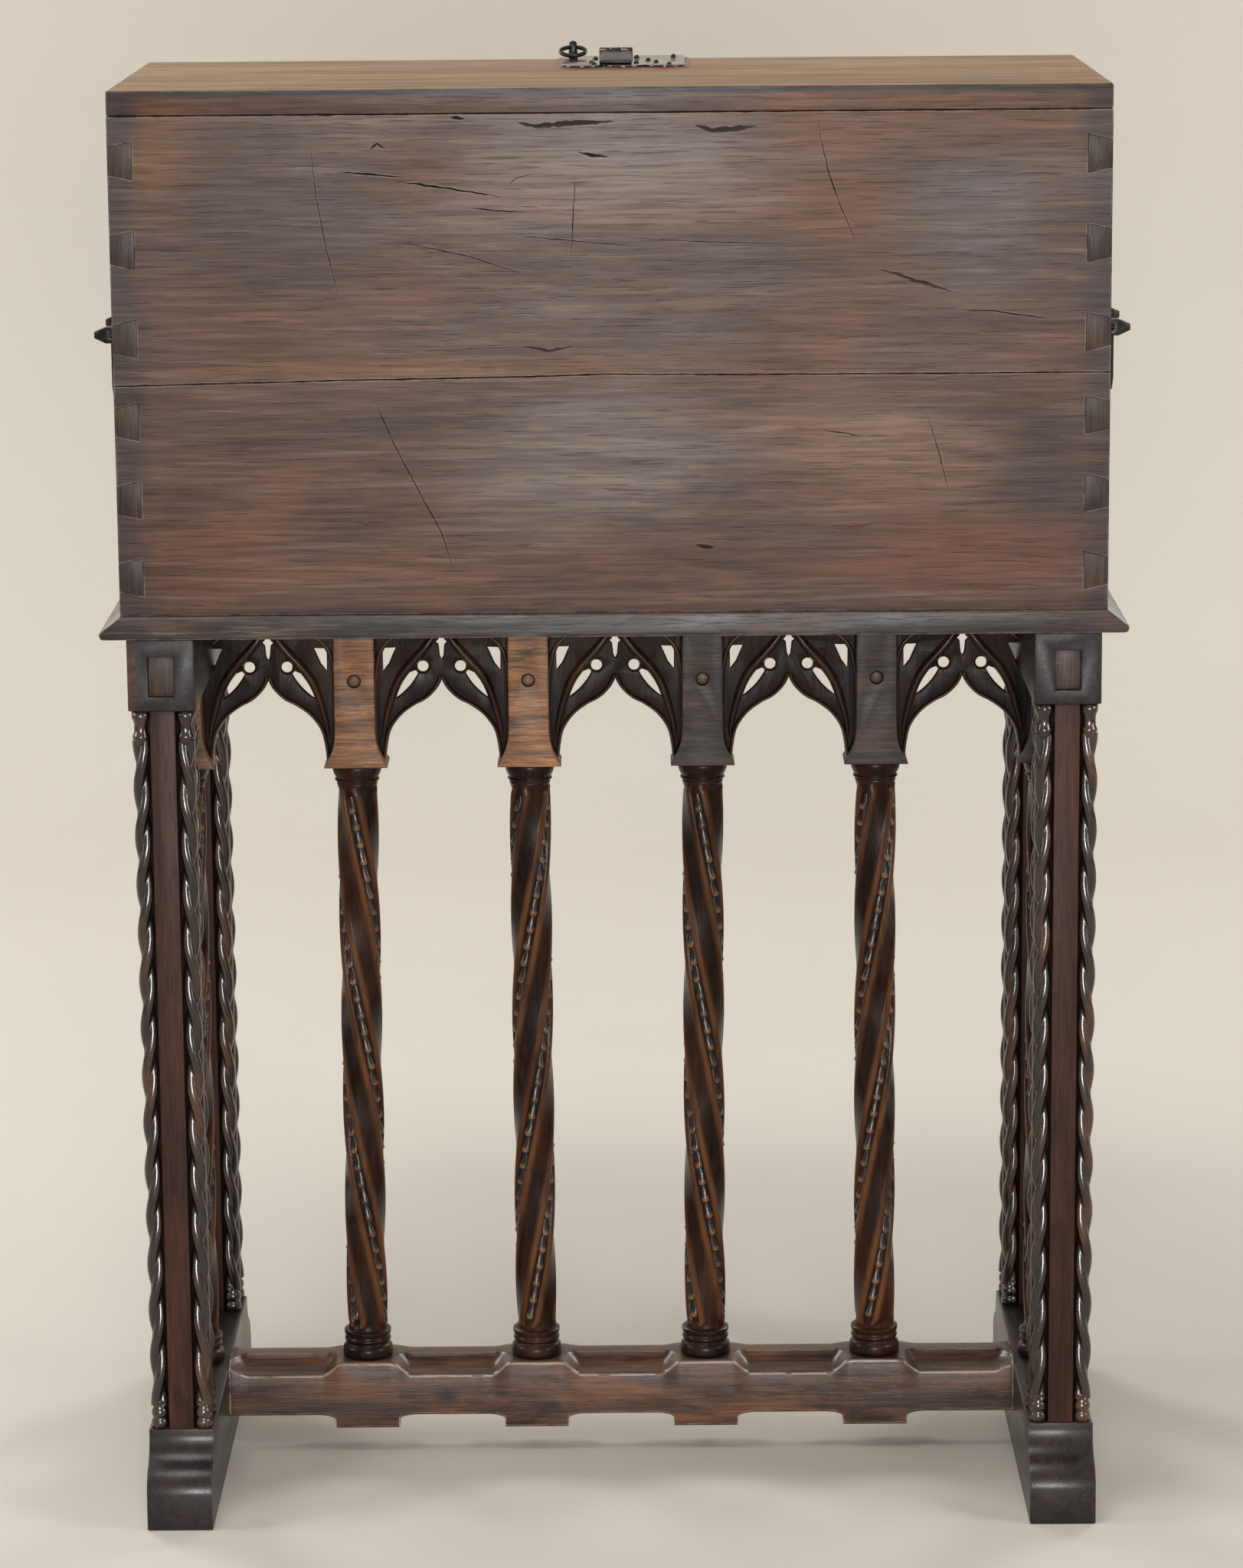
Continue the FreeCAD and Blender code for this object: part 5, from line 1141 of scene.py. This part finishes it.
# pierced arches: a thin web with carved ribs standing proud on both faces
arch = {
    "half": 0.0545, "rise": 0.0834, "spring": 0.6765, "bays": 5, "endY": 0.08825, "endSize": (0.927, 0.581),
    "webShare": 0.4, "webAngle": 60, "webEase": 0.0012, "ribDeep": 1.75, "rimDeep": 3.5, "rimOut": (1.2, 1.0),
    "rimWide": (2.0, 2.2, 2.4), "around": 16, "steps": 36,
    "soffit": [(1, 0), (0.97, 0.2), (0.9, 0.39), (0.72, 0.56), (0.48, 0.68), (0.3, 0.74), (0.17, 0.81),
               (0.06, 0.9), (0, 1)],
}
mm = 0.001
eyelet = [(17.7 + 6.6 * math.cos(math.pi * t / 6), 93.4 + 6.6 * math.sin(math.pi * t / 6)) for t in range(13)]
ribs = [  # half width at start, middle and end in mm, then points in mm from the middle of the springing
    ((2.4, 5.0, 1.8), [(55.8, 22), (54, 40), (45.6, 70), (36, 88), (18, 108.6), (9.6, 119.4), (4, 128),
                       (2, 140)]),
    ((2.4, 3.0, 1.6), [(62, 20), (63.5, 58), (62, 88), (58, 108), (49, 119), (37, 126)]),
    ((1.0, 1.9, 1.2), [(3, 98), (7, 104), (13, 107), (18, 106)]),
    ((1.5, 1.5, 1.5), eyelet),
]


def ribLines(name, lines):
    # strokes in x and y, each with its half width along the way
    spots, edges, widths = [], [], []
    for (first, middle, last), path in lines:
        for way in (1, -1):
            start = len(spots)
            for i, (x, z) in enumerate(path):
                t = i / (len(path) - 1)
                tip = first if t < 0.5 else last
                spots.append((way * x * mm, z * mm, 0))
                widths.append((tip + (middle - tip) * math.sin(math.pi * t)) * mm)
            edges += [(start + i, start + i + 1) for i in range(len(path) - 1)]
    mesh = bpy.data.meshes.new(name)
    mesh.from_pydata(spots, edges, [])
    mesh.attributes.new("wide", "FLOAT", "POINT").data.foreach_set("value", widths)
    return linked(name, mesh)


tree, given = nodeTree("archRibs", [("Lines", "Object"), ("Section", "Object"), ("Steps", "Int"),
                                    ("Material", "Material")])
curves = put(tree, "GeometryNodeMeshToCurve", {"Mesh": shapeOf(tree, given["Lines"])}).outputs[0]
curves = put(tree, "GeometryNodeCurveSplineType", {"Curve": curves}, spline_type="CATMULL_ROM").outputs[0]
curves = put(tree, "GeometryNodeResampleCurve", {"Curve": curves, "Count": given["Steps"]}).outputs[0]
curves = put(tree, "GeometryNodeSetCurveNormal", {"Curve": curves}, mode="Z_UP").outputs[0]
names = {"Curve": curves, "Profile Curve": shapeOf(tree, given["Section"]), "Scale": named(tree, "wide"),
         "Fill Caps": True}
work = put(tree, "GeometryNodeCurveToMesh", names).outputs[0]
upright = vector(tree, {0: math.pi / 2, 2: named(tree, "facing")})
closed(tree, setOn(tree, given["Geometry"], work, Rotation=upright), given["Material"])

bay = columnX[0] - columnX[1]
archSpots = [(trestleX - bay * (i + 0.5), middleY, arch["spring"]) for i in range(arch["bays"])]
endSpots = [(way * trestleX, middleY + end * arch["endY"], arch["spring"])
            for way in (-1, 1) for end in (-1, 1)]
oval = [wholeTurn * i / arch["around"] for i in range(arch["around"])]
carvings = (
    ("arch", archSpots, (1, 1), 0.0, ribs),
    ("end", endSpots, arch["endSize"], math.pi / 2, ribs[:1]),
)
for label, spots, (broad, tall), turn, strokes in carvings:
    node = label + "_tracery"
    bm = merged(node)
    for v in bm.verts:
        if label == "arch":
            v.co.y = middleY + (v.co.y - middleY) * arch["webShare"]
        else:
            v.co.x = math.copysign(trestleX + (abs(v.co.x) - trestleX) * arch["webShare"], v.co.x)
    softened(bm, arrises(bm, arch["webAngle"]), arch["webEase"], 2)
    onStand(finished(label + "Tracery", bm, wood["traceryWebShaded"], 40), node)
    scaled = [(wide, [(x * broad, z * tall) for x, z in path]) for wide, path in strokes]
    outX, outZ = arch["rimOut"]
    half, rise = arch["half"] * broad / mm, arch["rise"] * tall / mm
    rim = [(arch["rimWide"], [(x * half + outX, z * rise + outZ) for x, z in arch["soffit"]])]
    for part, lines, deep in (("Ribs", scaled, arch["ribDeep"]), ("Rim", rim, arch["rimDeep"])):
        drawn = ribLines(label + part + "Lines", lines)
        section = ringCurve(label + part + "Section", [(math.cos(t), deep * math.sin(t)) for t in oval])
        values = {"Lines": drawn, "Section": section, "Steps": arch["steps"], "Material": wood["tracery"]}
        onStand(grown(label + part, spots, {"facing": [turn] * len(spots)}, tree, values))
        bpy.data.objects.remove(drawn)
        bpy.data.objects.remove(section)
print("arches carved")

# fall front and ironwork
flap = fromNode("fall_board", "fallBoard", wood["chestInside"], 0.002, 3)
ready(flap, "fall", "chest_walnut", "fall_board")
ironwork = [  # body, easing and smoothing angle
    ("fall_hinge_fixed", "fallHingeFixed", "carcass", 0.0003, 40),
    ("fall_hinge_moving", "fallHingeMoving", "fall", 0.0003, 40),
    ("lock_plate", "lockPlate", "fall", 0.0005, 35),
    ("hasp_top_plate", "haspTopPlate", "carcass", 0.0005, 35),
    ("hasp_strap", "haspStrap", "hasp", 0.0006, 40), ("ring_eye", "ringEye", "carcass", 0.0003, 60),
    ("ring_pull", "ringPull", "ring", 0.0, 70), ("handle_plates", "handlePlates", "carcass", 0.0005, 35),
    ("handle_eyes", "handleEyes", "carcass", 0.0004, 60), ("bail_left", "bailLeft", "bail_l", 0.0, 70),
    ("bail_right", "bailRight", "bail_r", 0.0, 70),
]
for node, name, body, ease, smooth in ironwork:
    metal = plateIron if node == "hasp_top_plate" else iron
    ready(fromNode(node, name, metal, ease, 2, 40, smooth), body, "iron", node)

# red cloth under the hasp plate
under = ready(fromNode("hasp_cloth", "haspCloth", velvet, 0.0), "carcass", "red_cloth", "hasp_cloth")

# dome studs on the plates
stud = {"radius": 0.0027, "height": 0.0024, "haspZ": 1.3278, "handleX": 0.447, "handleZ": 1.092,
        "dome": [(1.0, -0.1), (1.0, 0.06), (0.9, 0.4), (0.68, 0.72), (0.36, 0.94), (0.1, 1.0)]}
haspSpots = [(0.0145, 0.054), (0.0178, 0.11), (0.0155, 0.135), (-0.0356, 0.075), (-0.043, 0.107),
             (-0.0245, 0.118), (-0.025, 0.03), (-0.06, 0.02), (-0.055, 0.14)]
handleSpots = [(way, y, z) for way in (-1, 1) for y in (-0.07, -0.03, 0.03, 0.07) for z in (-0.016, 0.016)]
studs = {  # points, and the tip of each stud about y
    "haspStuds": [((x, y, stud["haspZ"]), 0.0) for x, y in haspSpots],
    "handleStuds": [((way * stud["handleX"], middleY + y, stud["handleZ"] + z), way * math.pi / 2)
                    for way, y, z in handleSpots],
}
bm = bmesh.new()
addLathe(bm, [(a * stud["radius"], b * stud["height"]) for a, b in stud["dome"]], (0, 0, 0), 12)
head = loose("studHead", outward(bm))
tree, given = nodeTree("domeStuds", [("Head", "Object"), ("Material", "Material")])
tip = vector(tree, {1: named(tree, "tip")})
closed(tree, setOn(tree, given["Geometry"], shapeOf(tree, given["Head"]), Rotation=tip), given["Material"])
for name, rows in studs.items():
    spots, tips = zip(*rows)
    ready(grown(name, spots, {"tip": tips}, tree, {"Head": head, "Material": iron}), "carcass", "iron")
bpy.data.objects.remove(head)
print("ironwork fitted")

# studio
stage = {
    "paper": (0.66, 0.61, 0.535), "dull": 0.95, "patch": 2.5, "rough": 0.8, "specular": 0.2, "nearY": 4.4,
    "bendY": -2.4, "bend": 1.2, "bendSteps": 12, "wallZ": 4.5, "halfWide": 8,
}


def stageMaterial(name):
    material, tree, place = newMaterial(name)
    shader = tree.nodes["Principled BSDF"]
    dull = tuple(c * stage["dull"] for c in stage["paper"])
    colour = mixColour(tree, cloud(tree, place, stage["patch"], 4.0), stage["paper"], dull)
    names = {"Base Color": colour, "Roughness": stage["rough"], "Specular IOR Level": stage["specular"]}
    fill(tree, shader, names)
    # seen from behind, the wall lets the camera through
    backs = put(tree, "ShaderNodeNewGeometry").outputs["Backfacing"]
    behind = times(tree, backs, put(tree, "ShaderNodeLightPath").outputs["Is Camera Ray"])
    clear = put(tree, "ShaderNodeBsdfTransparent").outputs[0]
    surface = put(tree, "ShaderNodeMixShader", {0: behind, 1: shader.outputs[0], 2: clear}).outputs[0]
    tree.links.new(surface, tree.nodes["Material Output"].inputs["Surface"])
    return material


bend, bendY = stage["bend"], stage["bendY"]
arc = [math.pi / 2 * i / stage["bendSteps"] for i in range(stage["bendSteps"] + 1)]
sweep = [(stage["nearY"], 0.0)] + [(bendY - bend * math.sin(t), bend - bend * math.cos(t)) for t in arc]
sweep.append((bendY - bend, stage["wallZ"]))
bm = bmesh.new()
rings = [[bm.verts.new((way * stage["halfWide"], y, z)) for way in (-1, 1)] for y, z in sweep]
for a, b in zip(rings, rings[1:]):
    bm.faces.new((b[0], b[1], a[1], a[0]))
floor = finished("studioFloor", bm, stageMaterial("studioPaper"))
if floor.data.polygons[0].normal.z < 0:
    floor.data.flip_normals()

lamps = [  # place, aim, width and power
    ("keyLamp", (-0.2, 7.4, 1.5), (0, 0.4, 0.9), 1.9, 300),
    ("topLamp", (0.6, 1.0, 3.6), (0, 0.2, 0.9), 1.6, 40),
    ("sideLamp", (-3.2, 1.6, 1.7), (0, 0.2, 0.8), 1.4, 40),
    ("otherLamp", (3.2, 0.6, 1.7), (0, 0.2, 0.8), 1.4, 36),
    ("frontLamp", (2.3, -2.5, 2.6), (0, 0, 0.9), 1.4, 62),
    ("frontFill", (-2.3, -2.5, 2.4), (0, 0, 0.9), 1.4, 50),
]
for name, spot, aim, wide, power in lamps:
    light = bpy.data.lights.new(name, "AREA")
    light.shape = "ELLIPSE"
    light.size = light.size_y = wide
    light.energy = power
    lamp = linked(name, light)
    lamp.location = spot
    lamp.visible_camera = False
    lamp.rotation_euler = (Vector(aim) - Vector(spot)).to_track_quat("-Z", "Y").to_euler()

# a dim room, paler where it is seen straight or in polish
room = {"tint": (0.93, 0.93, 0.95), "seenTint": (0.98, 0.92, 0.82), "strength": 0.14, "seenMore": 0.38}
world = bpy.data.worlds.new("studioWorld")
world.use_nodes = True
tree = world.node_tree
paths = put(tree, "ShaderNodeLightPath").outputs
mirrored = calc(tree, "MAXIMUM", paths["Is Glossy Ray"], paths["Is Transmission Ray"])
seen = calc(tree, "MAXIMUM", paths["Is Camera Ray"], mirrored)
tint = mixColour(tree, seen, room["tint"], room["seenTint"])
strength = plus(tree, times(tree, seen, room["seenMore"]), room["strength"])
fill(tree, tree.nodes["Background"], {0: tint, 1: strength})
bpy.context.scene.world = world
bpy.context.scene.view_settings.view_transform = "Standard"

# camera behind the chest, as fitted to its corners
shot = {"place": (-0.019, 4.862, 1.623), "yaw": -0.003, "pitch": 0.205, "roll": -0.0084, "lens": 115.06,
        "sensor": 36}
level = math.cos(shot["pitch"])
forward = Vector((-math.sin(shot["yaw"]) * level, -math.cos(shot["yaw"]) * level, -math.sin(shot["pitch"])))
right = Vector((-math.cos(shot["yaw"]), math.sin(shot["yaw"]), 0))
upward = right.cross(forward)
rolledRight = math.cos(shot["roll"]) * right + math.sin(shot["roll"]) * upward
rolledUp = -math.sin(shot["roll"]) * right + math.cos(shot["roll"]) * upward
lens = bpy.data.cameras.new("rearCamera")
lens.sensor_width = shot["sensor"]
lens.lens = shot["lens"]
camera = linked("rearCamera", lens)
axes = Matrix((rolledRight, rolledUp, -forward)).transposed().to_4x4()
camera.matrix_world = Matrix.Translation(shot["place"]) @ axes
bpy.context.scene.camera = camera

bpy.context.view_layer.update()
